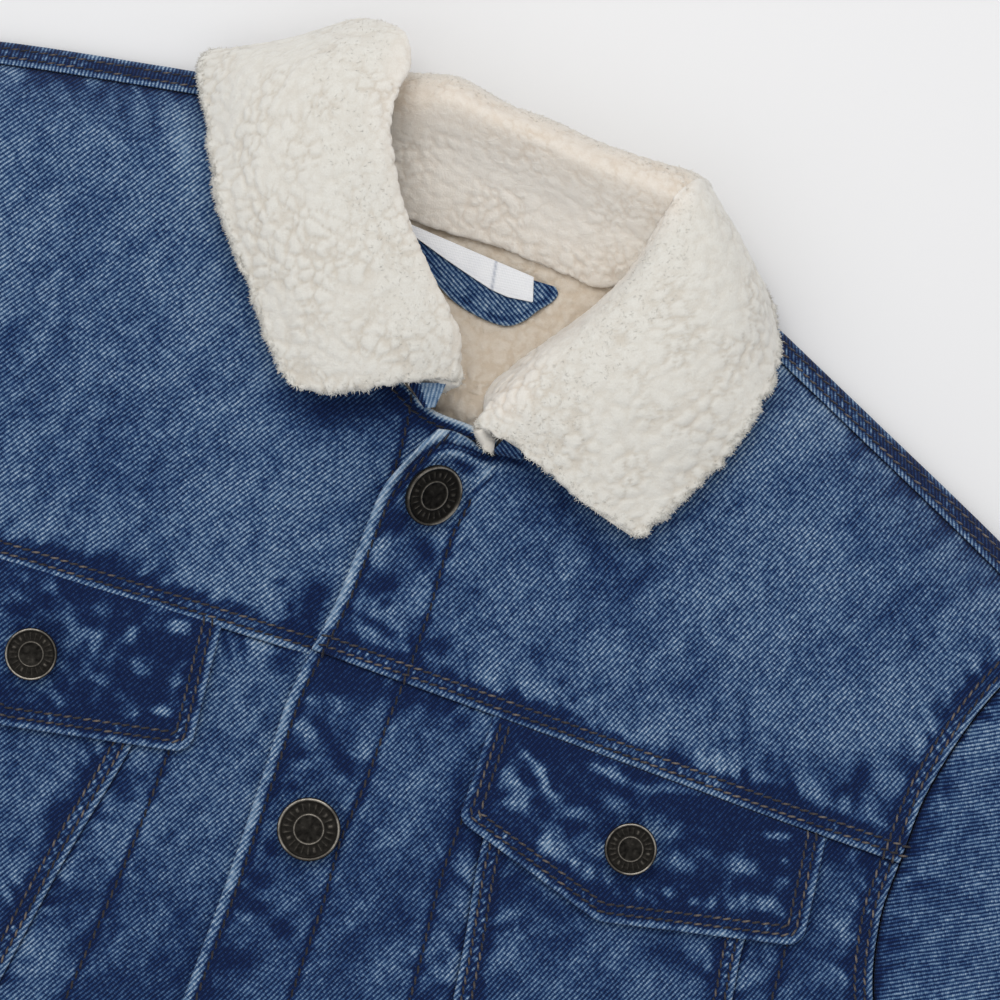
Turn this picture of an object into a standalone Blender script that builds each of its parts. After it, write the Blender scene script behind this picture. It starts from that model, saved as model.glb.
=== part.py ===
"""A child's denim trucker jacket with a sherpa collar and lining, buttoned and laid flat on its back.

+X is the wearer's left, +Y runs from the hem to the collar and +Z is up, out of the front.
The origin is on the table, under the middle of the jacket's outline.
Tables are in millimetres from the point where the centre front crosses the yoke seam.
"""

import math

import bpy
from mathutils import Matrix, Vector, geometry

MM = 0.001

# Cloth
SEAM_GAP = 0.3  # between two pieces that are sewn together
DENIM = 1.5  # one panel with its turnings
BAND = 2.0  # waistband and cuffs, folded double
FLAP = 2.2  # pocket flap, two layers
UNDERCOLLAR = 1.2
SHERPA = 6.0
LINING = 5.0
PATCH = 0.9
LABEL = 0.4

# The lying garment
BACK_TOP = DENIM  # the back lies flat on the table
EDGE_HEIGHT = 2 * DENIM + SEAM_GAP  # the front where it meets the back along a fold
BODY_RISE = 24.0  # the front's height over the table
HEM_FALL = 6.0  # how much lower the front lies at the hem
HEM_FALL_START = -245.0
SLEEVE_FALL = 8.5  # how much lower a sleeve lies at its cuff
SLEEVE_FALL_START = 230.0
FOLD_REACH = 30.0  # distance over which a fold rises to the full height
LAP_DROP = 2.2  # the right front under the left one
LAP_START = -42.0
LAP_FULL = -22.0
BAND_LAP_DROP = 0.3  # the waistbands are thicker, so the lower one drops this much more
PLACKET_LIFT = 6.0  # the top corner of the left front stands up at the first button
BAND_PROUD = 1.2  # the waistband's face over the panels'

# Main lines
WAIST_Y = -335.0
HEM_Y = -375.0
HEM_TAPER = 0.99  # the hem's width as part of the waist seam's
CUFF_LENGTH = 45.0
CUFF_SQUARENESS = 0.72  # 1 is an ellipse, less is fuller at the folds
SHOULDER_BAND = 6.3  # forward strip of the back yoke

# Buttons
BUTTON_RADIUS = 8.5
SMALL_BUTTON_RADIUS = 7.0
BUTTON_PITCH = 94.5
FIRST_BUTTON_Y = 45.6
LAST_BUTTON_Y = -355.0  # on the waistband
FIRST_BUTTON_TURN = 38.0  # degrees, the first button leans with the lifted cloth
FIRST_BUTTON_LIFT = 1.3  # the leaning post's clearance
CUFF_BUTTON_LIFT = 0.3  # over the cuff's faceted face
CUFF_BUTTON_PLACE = 0.62  # from the cuff's outer fold to its inner one
SHANK = 1.9
BUTTON_STEPS = 20
BUTTON_PROFILE = [  # part of the radius, height in mm over the cap's back
    (0.0, 2.05), (0.40, 2.15), (0.46, 2.35), (0.52, 2.05), (0.84, 2.05), (0.93, 2.6), (1.0, 1.9),  # face
    (0.95, 0.6), (0.45, 0.4), (0.45, -SHANK), (0.0, -SHANK),  # back and post
]
MERGE = 0.00001
SHARP_ANGLE = math.radians(40)

# Meshing: the spacing of the points on each face
FACET_CLEAR = 0.12  # over a faceted face, which stands a little proud of the form between its points
COLLAR_STEPS = (2, 3)  # grid steps in one stretch of the collar's tables, along and across
UNDER_COLUMN = 9  # the undercollar starts past the roll
UNDER_ROWS = -5  # and leaves out the last rows, by the back of the neck
CUFF_POINTS = 20
ROW_RATIO = math.sqrt(3) / 2  # between the rows of a triangular lattice and its points
EDGE_CLEAR = 0.45  # part of the spacing that lattice points keep from an outline
LATTICE_START = 0.25
SEAM_STEP = 16.0
CURVE_STEP = 14.0
LONG_STEP = 20.0
BACK_STEP = 60.0
YOKE_SPACING = 13.0
PANEL_SPACING = 24.0
SIDE_SPACING = 17.0
LINING_SPACING = 40.0
PATCH_SPACING = 9.0

COLOURS = {  # slot: colour, roughness, metallic
    "denim": ((0.09, 0.16, 0.33), 0.85, 0.0),
    "sherpa": ((0.80, 0.76, 0.68), 0.95, 0.0),
    "label": ((0.85, 0.86, 0.90), 0.6, 0.0),
    "button": ((0.10, 0.09, 0.07), 0.4, 1.0),
}

# Seams of the two sides, wearer's left (+X) and right (-X)
LEFT = {
    "neckline": [(-4, 61.7), (4.7, 61.8), (10.5, 60.9), (18, 63.5), (32, 78), (46, 98), (56, 114), (60, 124)],
    "shoulder": [(60, 124), (74, 118), (103, 105.5), (140, 89.5), (172, 75)],
    "armhole_upper": [(172, 75), (158, 48), (151, 20), (150.3, -2.1)],
    "armhole_lower": [(150.3, -2.1), (151, -20), (158, -42), (177, -67), (212, -90)],
    "side": [(212, -90), (208, -200), (203, WAIST_Y)],
    "yoke_seam": [(-16.3, -3.6), (43.5, -3.0), (117, -2.7), (150.3, -2.1)],
    "waist_seam": [(-15.8, WAIST_Y), (80, WAIST_Y), (116, WAIST_Y), (203, WAIST_Y)],
    "inner_seam": [(43.5, -3.0), (45, -37), (52.2, -78), (66, -180), (80, WAIST_Y)],
    "outer_seam": [(117, -2.7), (118.4, -37), (121.5, -60), (124.5, -120), (122, -220), (116, WAIST_Y)],
    "edge_yoke": [(-16.3, -3.6), (-14.6, 12), (-14.2, 30.5), (-13.6, 42), (-11.2, 49.8), (-7.3, 57.5), (-4, 61.7)],
    "edge_low": [(-16.3, -3.6), (-17.7, -18), (-17.2, -33), (-16.2, -60), (-15.8, -104), (-15.8, WAIST_Y)],
    "sleeve_outer": [(172, 75), (201, 58), (228, 33), (256, 1), (312, -68), (392, -172), (474, -276)],
    "sleeve_inner": [(212, -90), (272, -164), (334, -245), (397, -326)],
}
RIGHT = {
    "neckline": [(11, 65.5), (3, 66.7), (-9, 67.2), (-20, 72), (-40, 84), (-62, 103), (-76, 122), (-80, 132.7)],
    "shoulder": [(-80, 132.7), (-118, 125.2), (-150, 118.5), (-174, 112)],
    "armhole_upper": [(-174, 112), (-160, 76), (-152.5, 35), (-151, -13)],
    "armhole_lower": [(-151, -13), (-156, -37), (-176, -63), (-212, -85)],
    "side": [(-212, -85), (-208, -200), (-203, WAIST_Y)],
    "yoke_seam": [(11, -4.0), (-50, -7.2), (-122, -11.5), (-151, -13)],
    "waist_seam": [(11, WAIST_Y), (-84, WAIST_Y), (-118, WAIST_Y), (-203, WAIST_Y)],
    "inner_seam": [(-50, -7.2), (-52.5, -45), (-60, -90), (-72, -190), (-84, WAIST_Y)],
    "outer_seam": [(-122, -11.5), (-123.5, -45), (-126.5, -110), (-124, -220), (-118, WAIST_Y)],
    "edge_yoke": [(11, -4.0), (11, 30), (11, 65.5)],
    "edge_low": [(11, -4.0), (11, -160), (11, WAIST_Y)],
    "sleeve_outer": [(-174, 112), (-203, 93), (-231, 65), (-262, 27), (-320, -48), (-400, -152), (-483, -257)],
    "sleeve_inner": [(-212, -85), (-276, -158), (-342, -234), (-409, -311)],
}
BACK_NECK = [
    (-80, 132.7), (-62, 122.5), (-46, 117), (-31, 114.6), (-7, 115), (14, 113.4), (30, 113.6), (46, 117), (60, 124),
]
BACK_YOKE_SEAM = [(-150.5, 10), (-55, 4), (55, 4), (150.5, 10)]
BACK_PANEL_WAIST = 62.0
FLAPS = {  # corner points and the radius that rounds each
    "left": [((35.4, -5.2), 0), ((36.5, -33.5), 4), ((81.7, -45.4), 8), ((131.0, -33.4), 5), ((127.8, -5.0), 0)],
    "right": [((-128, -13.5), 0), ((-131, -39), 5), ((-87, -52), 8), ((-36.6, -41.2), 5), ((-40.7, -8.4), 0)],
}
FLAP_BUTTONS = {"left": (81.6, -23.8), "right": (-85.0, -31.0)}

# The collar: a row for each section, from the front end to the back. A point is (x, y, z) on the sherpa's face,
# in columns for the neck seam, the stand, the roll, the fall, the spread and the outer edge.
COLLAR_RIGHT = [
    [(-12, 71, 21), (-7, 74.5, 24), (-4.2, 77.5, 32), (-20, 69.5, 38), (-33, 62.5, 36), (-44.8, 59.2, 32.8)],
    [(-24, 79, 22), (-15, 83.5, 25), (-8.2, 87.5, 35), (-24, 82, 42), (-41, 75.5, 39.5), (-57, 68.8, 32.8)],
    [(-37, 91, 24), (-26, 95, 27.5), (-19.5, 98.5, 38), (-36, 95, 44.5), (-54, 88, 41), (-70, 84, 32.8)],
    [(-48, 103, 27), (-37, 107, 30), (-30.5, 110, 40), (-47, 106, 45.5), (-65, 101, 41.5), (-82, 99, 32.6)],
    [(-57, 118, 26), (-46, 121, 31), (-39.5, 123, 42), (-56, 120, 46), (-75, 116, 40), (-91, 116, 26)],
    [(-60, 132, 24), (-50, 135, 31), (-45.5, 136, 42), (-61, 134, 45), (-80, 130.5, 36), (-98.5, 129, 17)],
    [(-60, 142, 20), (-52, 145, 27), (-49, 148, 38), (-62, 149, 38), (-80, 142, 27), (-100, 135.5, 11)],
    [(-60, 146, 14), (-54, 152, 18), (-50.5, 157.5, 26), (-63, 158.3, 22), (-77.5, 148.5, 15), (-91, 139.5, 9)],
    [(-61, 144, 8.5), (-57, 149, 9), (-54, 153, 9.5), (-63, 153, 9), (-75, 145.5, 8.5), (-86, 138.5, 8)],
]
COLLAR_LEFT = [
    [(4.5, 67.5, 25.8), (3.2, 69.5, 27.5), (5, 71.5, 31.5), (21, 64.2, 36.5), (39, 57.2, 36), (54.8, 53.4, 32.8)],
    [(3, 75, 17), (5, 76, 24), (9.5, 77.5, 35.5), (25, 76, 41.5), (44, 70, 39.5), (61.3, 64.8, 32.8)],
    [(7, 86, 12), (10, 87, 23), (15.5, 89.5, 38.5), (32, 89, 44.5), (52, 83.5, 41), (68.6, 80, 32.8)],
    [(14, 97, 8.9), (17, 98.5, 23), (22.5, 101, 40), (38, 102, 45), (57, 98, 41), (73.3, 95.5, 32)],
    [(20, 105.5, 8.3), (23, 109, 22), (28, 114, 40), (43, 116, 44), (60, 112, 38), (74.3, 108.5, 25)],
    [(24.5, 111, 8.2), (27.5, 119, 22), (31.5, 127, 39), (45, 129, 41), (60, 125, 32), (71.5, 119.5, 16)],
    [(26.8, 113.4, 8.2), (29, 125.5, 22), (32, 137, 37), (43, 140.5, 36), (53.5, 137.5, 24), (63, 130.5, 11)],
    [(28.2, 114.8, 8.2), (29.8, 128, 22), (31.8, 141.2, 37), (38, 148.8, 29), (43.5, 146.5, 14), (46, 136, 8)],
]
COLLAR_BACK = [
    [(-58, 120.4, 6.4), (-58, 130, 12), (-57, 140, 17), (-57.6, 145.3, 13), (-59.4, 144.4, 5.5), (-58, 130, 0.3)],
    [(-42, 115.0, 6.4), (-42, 129, 17), (-42, 142, 26.5), (-42, 149.8, 18), (-42, 147, 5), (-42, 130, 0.3)],
    [(-33, 114.4, 6.4), (-33, 130, 20), (-33, 145, 33), (-33, 152.3, 22), (-33, 149, 5), (-33, 130, 0.3)],
    [(-20, 114.6, 6.4), (-20, 130, 21), (-20, 144, 35), (-20, 151, 23), (-20, 147.5, 5), (-20, 130, 0.3)],
    [(-7, 114.8, 6.4), (-7, 130, 21), (-7, 143.5, 35), (-7, 150.5, 23), (-7, 147.5, 5), (-7, 130, 0.3)],
    [(8, 113.4, 6.4), (8, 129, 21), (8, 142, 35.5), (8, 149, 23.5), (8, 146, 5), (8, 130, 0.3)],
    [(20, 113.2, 6.4), (20.6, 128, 21.5), (21.6, 141.6, 36), (23, 149.2, 25), (23, 146, 5), (23, 130, 0.3)],
    [(27.4, 114.4, 6.4), (29.0, 128.4, 22), (30.4, 141.6, 37), (33.2, 150.0, 27), (33.2, 147, 7), (33, 130, 0.3)],
]

LINING_OUTLINE = [
    (-46, 113), (-31, 113.4), (-7, 113.8), (14, 112.2), (30, 111.6),  # neck
    (60, 104), (100, 84), (136, 66),  # left shoulder
    (134, 40), (132, 0), (137, -42), (158, -78), (190, -104),  # left armhole
    (187, WAIST_Y + 8), (-187, WAIST_Y + 8),  # hem
    (-190, -100), (-158, -74), (-137, -38), (-132, 10), (-134, 50),  # right armhole
    (-136, 96), (-104, 108), (-74, 113),  # right shoulder
]

# The pile's thickness at each row as a share of SHERPA: it is pressed thin where the collar doubles over at its bends
COLLAR_WALLS = {
    "right": [1, 1, 1, 1, 1, 0.9, 0.7, 0.4, 0.2],
    "left": [0.45, 1, 1, 1, 1, 1, 1, 0.9],
    "back": [0.35, 0.7, 0.9, 1, 1, 1, 1, 0.9],
}
ROLL_COLUMN = 6  # grid column of the roll, where the pile is pressed thin inside the bend
ROLL_THINNING = 0.6
ROLL_REACH = 2.0

# The neck patch and the blank label on the back lining
PATCH_CENTRE = (-15.0, 110.0)
PATCH_HALF_WIDTH = 27.5
PATCH_DEPTH = 15.4
PATCH_TOP_HALF = 20.0
PATCH_TOP_RISE = 1.8
LABEL_CORNERS = [(-46.0, 112.4), (-46.0, 108.6), (-29.6, 108.4), (6.4, 103.4), (4.6, 110.2), (-7.0, 112.2)]

COLLAR_TOP_Y = 158.9
ORIGIN = Vector((
    (LEFT["sleeve_outer"][-1][0] + RIGHT["sleeve_outer"][-1][0]) / 2,
    (HEM_Y + COLLAR_TOP_Y) / 2,
    0,
))


# ---------------------------------------------------------------- lines and outlines

def smooth(t):
    t = min(max(t, 0.0), 1.0)
    return t * t * (3 - 2 * t)


def between(points, t):
    """The point at t on a Catmull-Rom curve through the points, one unit for each stretch."""
    i = min(int(t), len(points) - 2)
    f = t - i
    p1, p2 = Vector(points[i]), Vector(points[i + 1])
    p0 = Vector(points[i - 1]) if i > 0 else 2 * p1 - p2
    p3 = Vector(points[i + 2]) if i + 2 < len(points) else 2 * p2 - p1
    return 0.5 * (2 * p1 + (p2 - p0) * f + (2 * p0 - 5 * p1 + 4 * p2 - p3) * f * f
                  + (3 * p1 - p0 - 3 * p2 + p3) * f ** 3)


def curve(points, spacing):
    """Points at about this spacing along the smooth curve through a seam's points."""
    found = []
    for i in range(len(points) - 1):
        length = (Vector(points[i + 1]) - Vector(points[i])).length
        steps = max(1, round(length / spacing))
        found += [between(points, i + k / steps) for k in range(steps)]
    return found + [Vector(points[-1])]


def straight(points, spacing):
    """The same along the straight stretches between the points."""
    found = []
    for a, b in zip(points, points[1:]):
        a, b = Vector(a), Vector(b)
        steps = max(1, round((b - a).length / spacing))
        found += [a.lerp(b, k / steps) for k in range(steps)]
    return found + [Vector(points[-1])]


def outline_of(*stretches):
    """One counter-clockwise ring from stretches that follow each other."""
    ring = []
    for stretch in stretches:
        for point in stretch:
            if not ring or (point - ring[-1]).length > 0.5:
                ring.append(point)
    if (ring[0] - ring[-1]).length < 0.5:
        ring.pop()
    area = sum(a.x * b.y - b.x * a.y for a, b in zip(ring, ring[1:] + ring[:1]))
    return ring if area > 0 else ring[::-1]


def inset(ring, distance):
    """The ring moved inwards, so that neighbours keep their seam gap."""
    moved = []
    for before, point, after in zip(ring[-1:] + ring[:-1], ring, ring[1:] + ring[:1]):
        first, second = (point - before).normalized(), (after - point).normalized()
        normals = Vector((-first.y, first.x)), Vector((-second.y, second.x))
        total = normals[0] + normals[1]
        moved.append(point + total * distance / max(1 + normals[0].dot(normals[1]), 0.4))
    return moved


def rounded(corners, step=30.0):
    """A ring whose corners are rounded with arcs of their own radius."""
    ring = []
    count = len(corners)
    for i, (corner, radius) in enumerate(corners):
        corner = Vector(corner)
        if not radius:
            ring.append(corner)
            continue
        to_before = (Vector(corners[i - 1][0]) - corner).normalized()
        to_after = (Vector(corners[(i + 1) % count][0]) - corner).normalized()
        half = to_before.angle(to_after) / 2
        middle = corner + (to_before + to_after).normalized() * radius / math.sin(half)
        start = corner + to_before * radius / math.tan(half) - middle
        turn = math.pi - 2 * half
        turn *= math.copysign(1, start.x * to_after.y - start.y * to_after.x)
        steps = max(2, round(abs(math.degrees(turn)) / step))
        for k in range(steps + 1):
            ring.append(middle + Matrix.Rotation(turn * k / steps, 2) @ start)
    return ring


def distance_to_line(x, y, line):
    best = 1e9
    for (ax, ay), (bx, by) in zip(line, line[1:]):
        dx, dy = bx - ax, by - ay
        t = min(max(((x - ax) * dx + (y - ay) * dy) / (dx * dx + dy * dy), 0.0), 1.0)
        best = min(best, math.hypot(x - ax - t * dx, y - ay - t * dy))
    return best


def is_inside(x, y, ring):
    inside = False
    for a, b in zip(ring, ring[1:] + ring[:1]):
        if (a.y > y) != (b.y > y) and x < a.x + (y - a.y) * (b.x - a.x) / (b.y - a.y):
            inside = not inside
    return inside


# ---------------------------------------------------------------- the garment's form

FOLDS = [
    curve(side["shoulder"], LONG_STEP) + curve(side["sleeve_outer"], LONG_STEP)[1:]
    for side in (LEFT, RIGHT)
] + [
    curve(side[name], LONG_STEP) for side in (LEFT, RIGHT) for name in ("side", "sleeve_inner")
] + [
    [side["side"][-1], (side["side"][-1][0] * HEM_TAPER, HEM_Y)] for side in (LEFT, RIGHT)
]


def crown(x, y):
    """The front's height away from its folds."""
    hem = smooth((HEM_FALL_START - y) / (HEM_FALL_START - WAIST_Y))
    sleeve = smooth((abs(x) - SLEEVE_FALL_START) / 180)
    return BODY_RISE - HEM_FALL * hem - SLEEVE_FALL * sleeve


def front_height(x, y):
    """The height of the front's face: low along the folds where it meets the back, full height inside."""
    distance = min(distance_to_line(x, y, fold) for fold in FOLDS)
    rise = math.sin(math.pi / 2 * min(distance / FOLD_REACH, 1.0))
    return EDGE_HEIGHT + (crown(x, y) - EDGE_HEIGHT) * rise


def left_height(x, y):
    """The left front laps over the right one, and its top corner stands up."""
    across = math.exp(-(((x + 13) / 13) ** 2))
    along = smooth((y - 18) / 28)
    return front_height(x, y) + PLACKET_LIFT * across * along


def right_height(x, y):
    return front_height(x, y) - LAP_DROP * smooth((x - LAP_START) / (LAP_FULL - LAP_START))


def left_band_height(x, y):
    return front_height(x, y) + BAND_PROUD


def right_band_height(x, y):
    lapped = smooth((x - LAP_START) / (LAP_FULL - LAP_START))
    return right_height(x, y) - BAND_LAP_DROP * lapped + BAND_PROUD


def flap_height(x, y):
    return front_height(x, y) + SEAM_GAP + FLAP


def lining_height(x, y):
    """The back lining, a little fuller where the neck opening lets it rise."""
    puff = math.exp(-((x / 60) ** 2 + ((y - 88) / 30) ** 2))
    return BACK_TOP + SEAM_GAP + LINING + 1.5 * puff


# ---------------------------------------------------------------- solids

def material_of(slot):
    if slot not in bpy.data.materials:
        colour, roughness, metallic = COLOURS[slot]
        material = bpy.data.materials.new(slot)
        material.use_nodes = True
        shader = material.node_tree.nodes["Principled BSDF"]
        shader.inputs["Base Color"].default_value = (*colour, 1)
        shader.inputs["Roughness"].default_value = roughness
        shader.inputs["Metallic"].default_value = metallic
    return bpy.data.materials[slot]


def new_object(name, points, faces, slot, collection):
    mesh = bpy.data.meshes.new(name)
    mesh.from_pydata([(Vector(p) - ORIGIN) * MM for p in points], [], faces)
    mesh.validate()
    obj = bpy.data.objects.new(name, mesh)
    obj.data.materials.append(material_of(slot))
    collection.objects.link(obj)
    return obj


def thicken(obj, thickness):
    solidify = obj.modifiers.new("Solidify", "SOLIDIFY")
    solidify.thickness = thickness * MM
    solidify.offset = -1


def panel(name, ring, height, thickness, slot, collection, spacing=None, gap=SEAM_GAP / 2):
    """A cut piece: its outline, lifted to the garment's form, with a wall below its face."""
    ring = inset(ring, gap)
    points = [Vector(p) for p in ring]
    if spacing:
        low_x, high_x = min(p.x for p in ring), max(p.x for p in ring)
        low_y, high_y = min(p.y for p in ring), max(p.y for p in ring)
        closed = [tuple(p) for p in ring + ring[:1]]
        row_step = spacing * ROW_RATIO
        for j in range(int((high_y - low_y) / row_step) + 1):
            y = low_y + (j + 0.5) * row_step
            for i in range(int((high_x - low_x) / spacing) + 1):
                x = low_x + (i + LATTICE_START + 0.5 * (j % 2)) * spacing
                if is_inside(x, y, ring) and distance_to_line(x, y, closed) > EDGE_CLEAR * spacing:
                    points.append(Vector((x, y)))
    count = len(ring)
    edges = [(i, (i + 1) % count) for i in range(count)]
    flat, _, faces, *_ = geometry.delaunay_2d_cdt(points, edges, [], 1, 1e-4)
    lifted = [(p.x, p.y, height(p.x, p.y)) for p in flat]
    thicken(new_object(name, lifted, faces, slot, collection), thickness)


def surface(rows, steps_along, steps_across):
    """A grid of points on the smooth surface through the rows of a table."""
    across = []
    for row in rows:
        count = (len(row) - 1) * steps_across
        across.append([between(row, k / steps_across) for k in range(count + 1)])
    grid = []
    for j in range((len(rows) - 1) * steps_along + 1):
        t = j / steps_along
        grid.append([between([line[k] for line in across], t) for k in range(len(across[0]))])
    return grid


def normals_of(grid):
    found = []
    for j, row in enumerate(grid):
        found.append([])
        for i in range(len(row)):
            along = grid[min(j + 1, len(grid) - 1)][i] - grid[max(j - 1, 0)][i]
            across = row[min(i + 1, len(row) - 1)] - row[max(i - 1, 0)]
            found[-1].append(across.cross(along).normalized())
    return found


def shade_round(obj):
    obj.data.shade_smooth()
    obj.data.set_sharp_from_angle(angle=SHARP_ANGLE)


def grid_object(name, grid, thickness, slot, collection, flip, shares=None):
    width = len(grid[0])
    points = [p for row in grid for p in row]
    faces = []
    for j in range(len(grid) - 1):
        for i in range(width - 1):
            a = j * width + i
            face = (a, a + 1, a + width + 1, a + width)
            faces.append(face if flip else face[::-1])
    obj = new_object(name, points, faces, slot, collection)
    shade_round(obj)
    thicken(obj, thickness)
    if shares:
        group = obj.vertex_groups.new(name="wall")
        for i, share in enumerate(share for row in shares for share in row):
            group.add([i], share, "REPLACE")
        obj.modifiers["Solidify"].vertex_group = group.name


def wall_shares(walls, width):
    """The pile's thickness over the grid, as a share of the full one."""
    steps = COLLAR_STEPS[0]
    rows = []
    for j in range((len(walls) - 1) * steps + 1):
        i = min(j // steps, len(walls) - 2)
        wall = walls[i] + (walls[i + 1] - walls[i]) * (j / steps - i)
        rows.append([wall * (1 - ROLL_THINNING * math.exp(-(((k - ROLL_COLUMN) / ROLL_REACH) ** 2)))
                     for k in range(width)])
    return rows


# ---------------------------------------------------------------- pieces

def armhole_upper(side):
    """The armhole above the yoke seam, with a point where the shoulder band ends."""
    points = curve(side["armhole_upper"], CURVE_STEP)
    tip = points[0]
    band_end = tip + (points[1] - tip).normalized() * SHOULDER_BAND
    return [tip, band_end] + [p for p in points if (p - tip).length > SHOULDER_BAND + 4]


def front_pieces(side, name, height, band_height, collection):
    """The yoke, the three panels under it and the waistband of one front."""
    cf, inner, outer, arm = side["yoke_seam"]
    low_cf, low_inner, low_outer, low_side = side["waist_seam"]
    shoulder = curve(side["shoulder"], CURVE_STEP)
    slope = (shoulder[-1] - shoulder[0]).normalized()
    drop = Vector((slope.y, -slope.x)) if slope.x > 0 else Vector((-slope.y, slope.x))
    arm_top = armhole_upper(side)
    strip = [p + drop * SHOULDER_BAND for p in shoulder[:-1]] + arm_top[1:2]
    neck = curve(side["neckline"], 12)
    clipped_neck = [p for p in neck if (p - shoulder[0]).length > SHOULDER_BAND]
    panel(f"shoulder_band_{name}", outline_of(shoulder, strip[::-1]), height, DENIM, "denim", collection)
    panel(f"front_yoke_{name}",
          outline_of(clipped_neck, strip, arm_top[2:], straight([arm, outer, inner, cf], SEAM_STEP),
                     curve(side["edge_yoke"], 10)),
          height, DENIM, "denim", collection, YOKE_SPACING)
    panel(f"front_centre_{name}",
          outline_of(straight([cf, inner], SEAM_STEP), curve(side["inner_seam"], LONG_STEP),
                     straight([low_inner, low_cf], LONG_STEP), curve(side["edge_low"], LONG_STEP)[::-1]),
          height, DENIM, "denim", collection, PANEL_SPACING)
    panel(f"front_panel_{name}",
          outline_of(straight([inner, outer], SEAM_STEP), curve(side["outer_seam"], LONG_STEP),
                     straight([low_outer, low_inner], LONG_STEP), curve(side["inner_seam"], LONG_STEP)[::-1]),
          height, DENIM, "denim", collection, PANEL_SPACING)
    panel(f"front_side_{name}",
          outline_of(straight([outer, arm], SEAM_STEP), curve(side["armhole_lower"], CURVE_STEP),
                     curve(side["side"], LONG_STEP), straight([low_side, low_outer], LONG_STEP),
                     curve(side["outer_seam"], LONG_STEP)[::-1]),
          height, DENIM, "denim", collection, SIDE_SPACING)
    hem_cf, hem_side = (low_cf[0], HEM_Y), (low_side[0] * HEM_TAPER, HEM_Y)
    panel(f"waistband_{name}",
          outline_of(straight([low_cf, low_inner, low_outer, low_side, hem_side, hem_cf, low_cf], LONG_STEP)),
          band_height, BAND, "denim", collection, SIDE_SPACING)


def cuff_lines(side):
    """The ends of the sleeve's two edges at the cuff seam and at the cuff's mouth."""
    outer, inner = curve(side["sleeve_outer"], 5), curve(side["sleeve_inner"], 5)
    mouth = outer[-1], inner[-1]
    along = ((outer[-1] - outer[-5]).normalized() + (inner[-1] - inner[-5]).normalized()).normalized()
    cut = [[p for p in line if (p - end).dot(along) < -CUFF_LENGTH] for line, end in zip((outer, inner), mouth)]
    return cut, mouth, along


def sleeve_pieces(side, name, collection):
    (outer, inner), mouth, along = cuff_lines(side)
    outer, inner = [outer[i] for i in range(0, len(outer), 3)] + outer[-1:], inner[::4] + inner[-1:]
    armhole = armhole_upper(side) + curve(side["armhole_lower"], CURVE_STEP)[1:]
    ring = outline_of(armhole, inner, [outer[-1]], outer[::-1])
    panel(f"sleeve_front_{name}", ring, front_height, DENIM, "denim", collection, LONG_STEP, SEAM_GAP)
    panel(f"sleeve_back_{name}", ring, lambda x, y: BACK_TOP, DENIM, "denim", collection)
    cuff(f"cuff_{name}", outer[-1], inner[-1], mouth, collection)


def cuff(name, outer, inner, mouth, collection):
    """A flattened tube from the end of the sleeve to its mouth."""
    rings, count = [], CUFF_POINTS
    along = ((mouth[0] - outer) + (mouth[1] - inner)).normalized()
    starts = outer + along * SEAM_GAP, inner + along * SEAM_GAP
    for t in (0.0, 0.5, 1.0):
        a, b = starts[0].lerp(mouth[0], t), starts[1].lerp(mouth[1], t)
        middle, half = (a + b) / 2, (a - b) / 2
        height = front_height(middle.x, middle.y) + BAND_PROUD
        for k in range(count):
            turn = 2 * math.pi * k / count
            across = math.copysign(abs(math.cos(turn)) ** CUFF_SQUARENESS, math.cos(turn))
            up = math.copysign(abs(math.sin(turn)) ** CUFF_SQUARENESS, math.sin(turn))
            place = middle + half * across
            rings.append((place.x, place.y, height / 2 * (1 + up)))
    faces = []
    for j in range(2):
        for k in range(count):
            a, b = j * count + k, j * count + (k + 1) % count
            faces.append((a, b, b + count, a + count))
    turn = (mouth[0] - mouth[1]).x * along.y - (mouth[0] - mouth[1]).y * along.x
    if turn > 0:
        faces = [face[::-1] for face in faces]
    obj = new_object(name, rings, faces, "denim", collection)
    shade_round(obj)
    thicken(obj, BAND)


def back_pieces(collection):
    """The back: a yoke, a centre panel and two side panels, flat on the table."""
    seam = straight(BACK_YOKE_SEAM, 40)
    arms = {"left": LEFT, "right": RIGHT}
    split = {}
    for name, side in arms.items():
        whole = armhole_upper(side) + curve(side["armhole_lower"], CURVE_STEP)[1:]
        level = seam[-1].y if name == "left" else seam[0].y
        split[name] = [p for p in whole if p.y > level + 3], [p for p in whole if p.y < level - 3]
    flat = {"height": lambda x, y: BACK_TOP, "thickness": DENIM, "slot": "denim", "collection": collection}
    panel("back_yoke", outline_of(curve(BACK_NECK, CURVE_STEP), curve(LEFT["shoulder"], LONG_STEP), split["left"][0],
                                  seam[::-1], split["right"][0][::-1], curve(RIGHT["shoulder"], LONG_STEP)[::-1]),
          **flat)
    inner = {1: [(55, 4), (BACK_PANEL_WAIST, WAIST_Y)], -1: [(-55, 4), (-BACK_PANEL_WAIST, WAIST_Y)]}
    panel("back_centre", outline_of(straight([inner[-1][0], inner[1][0]], BACK_STEP), straight(inner[1], BACK_STEP),
                                    straight(inner[-1][::-1], BACK_STEP)), **flat)
    for name, sign, end in (("left", 1, seam[-1]), ("right", -1, seam[0])):
        side = arms[name]
        panel(f"back_side_{name}", outline_of([Vector(inner[sign][0]), end], split[name][1],
                                              curve(side["side"], BACK_STEP), straight(inner[sign][::-1], BACK_STEP)),
              **flat)
    low_right, low_left = RIGHT["side"][-1], LEFT["side"][-1]
    corners = [low_right, low_left, (low_left[0] * HEM_TAPER, HEM_Y), (low_right[0] * HEM_TAPER, HEM_Y)]
    panel("waistband_back", outline_of(straight(corners + corners[:1], BACK_STEP)), lambda x, y: BAND, BAND, "denim",
          collection)


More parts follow.
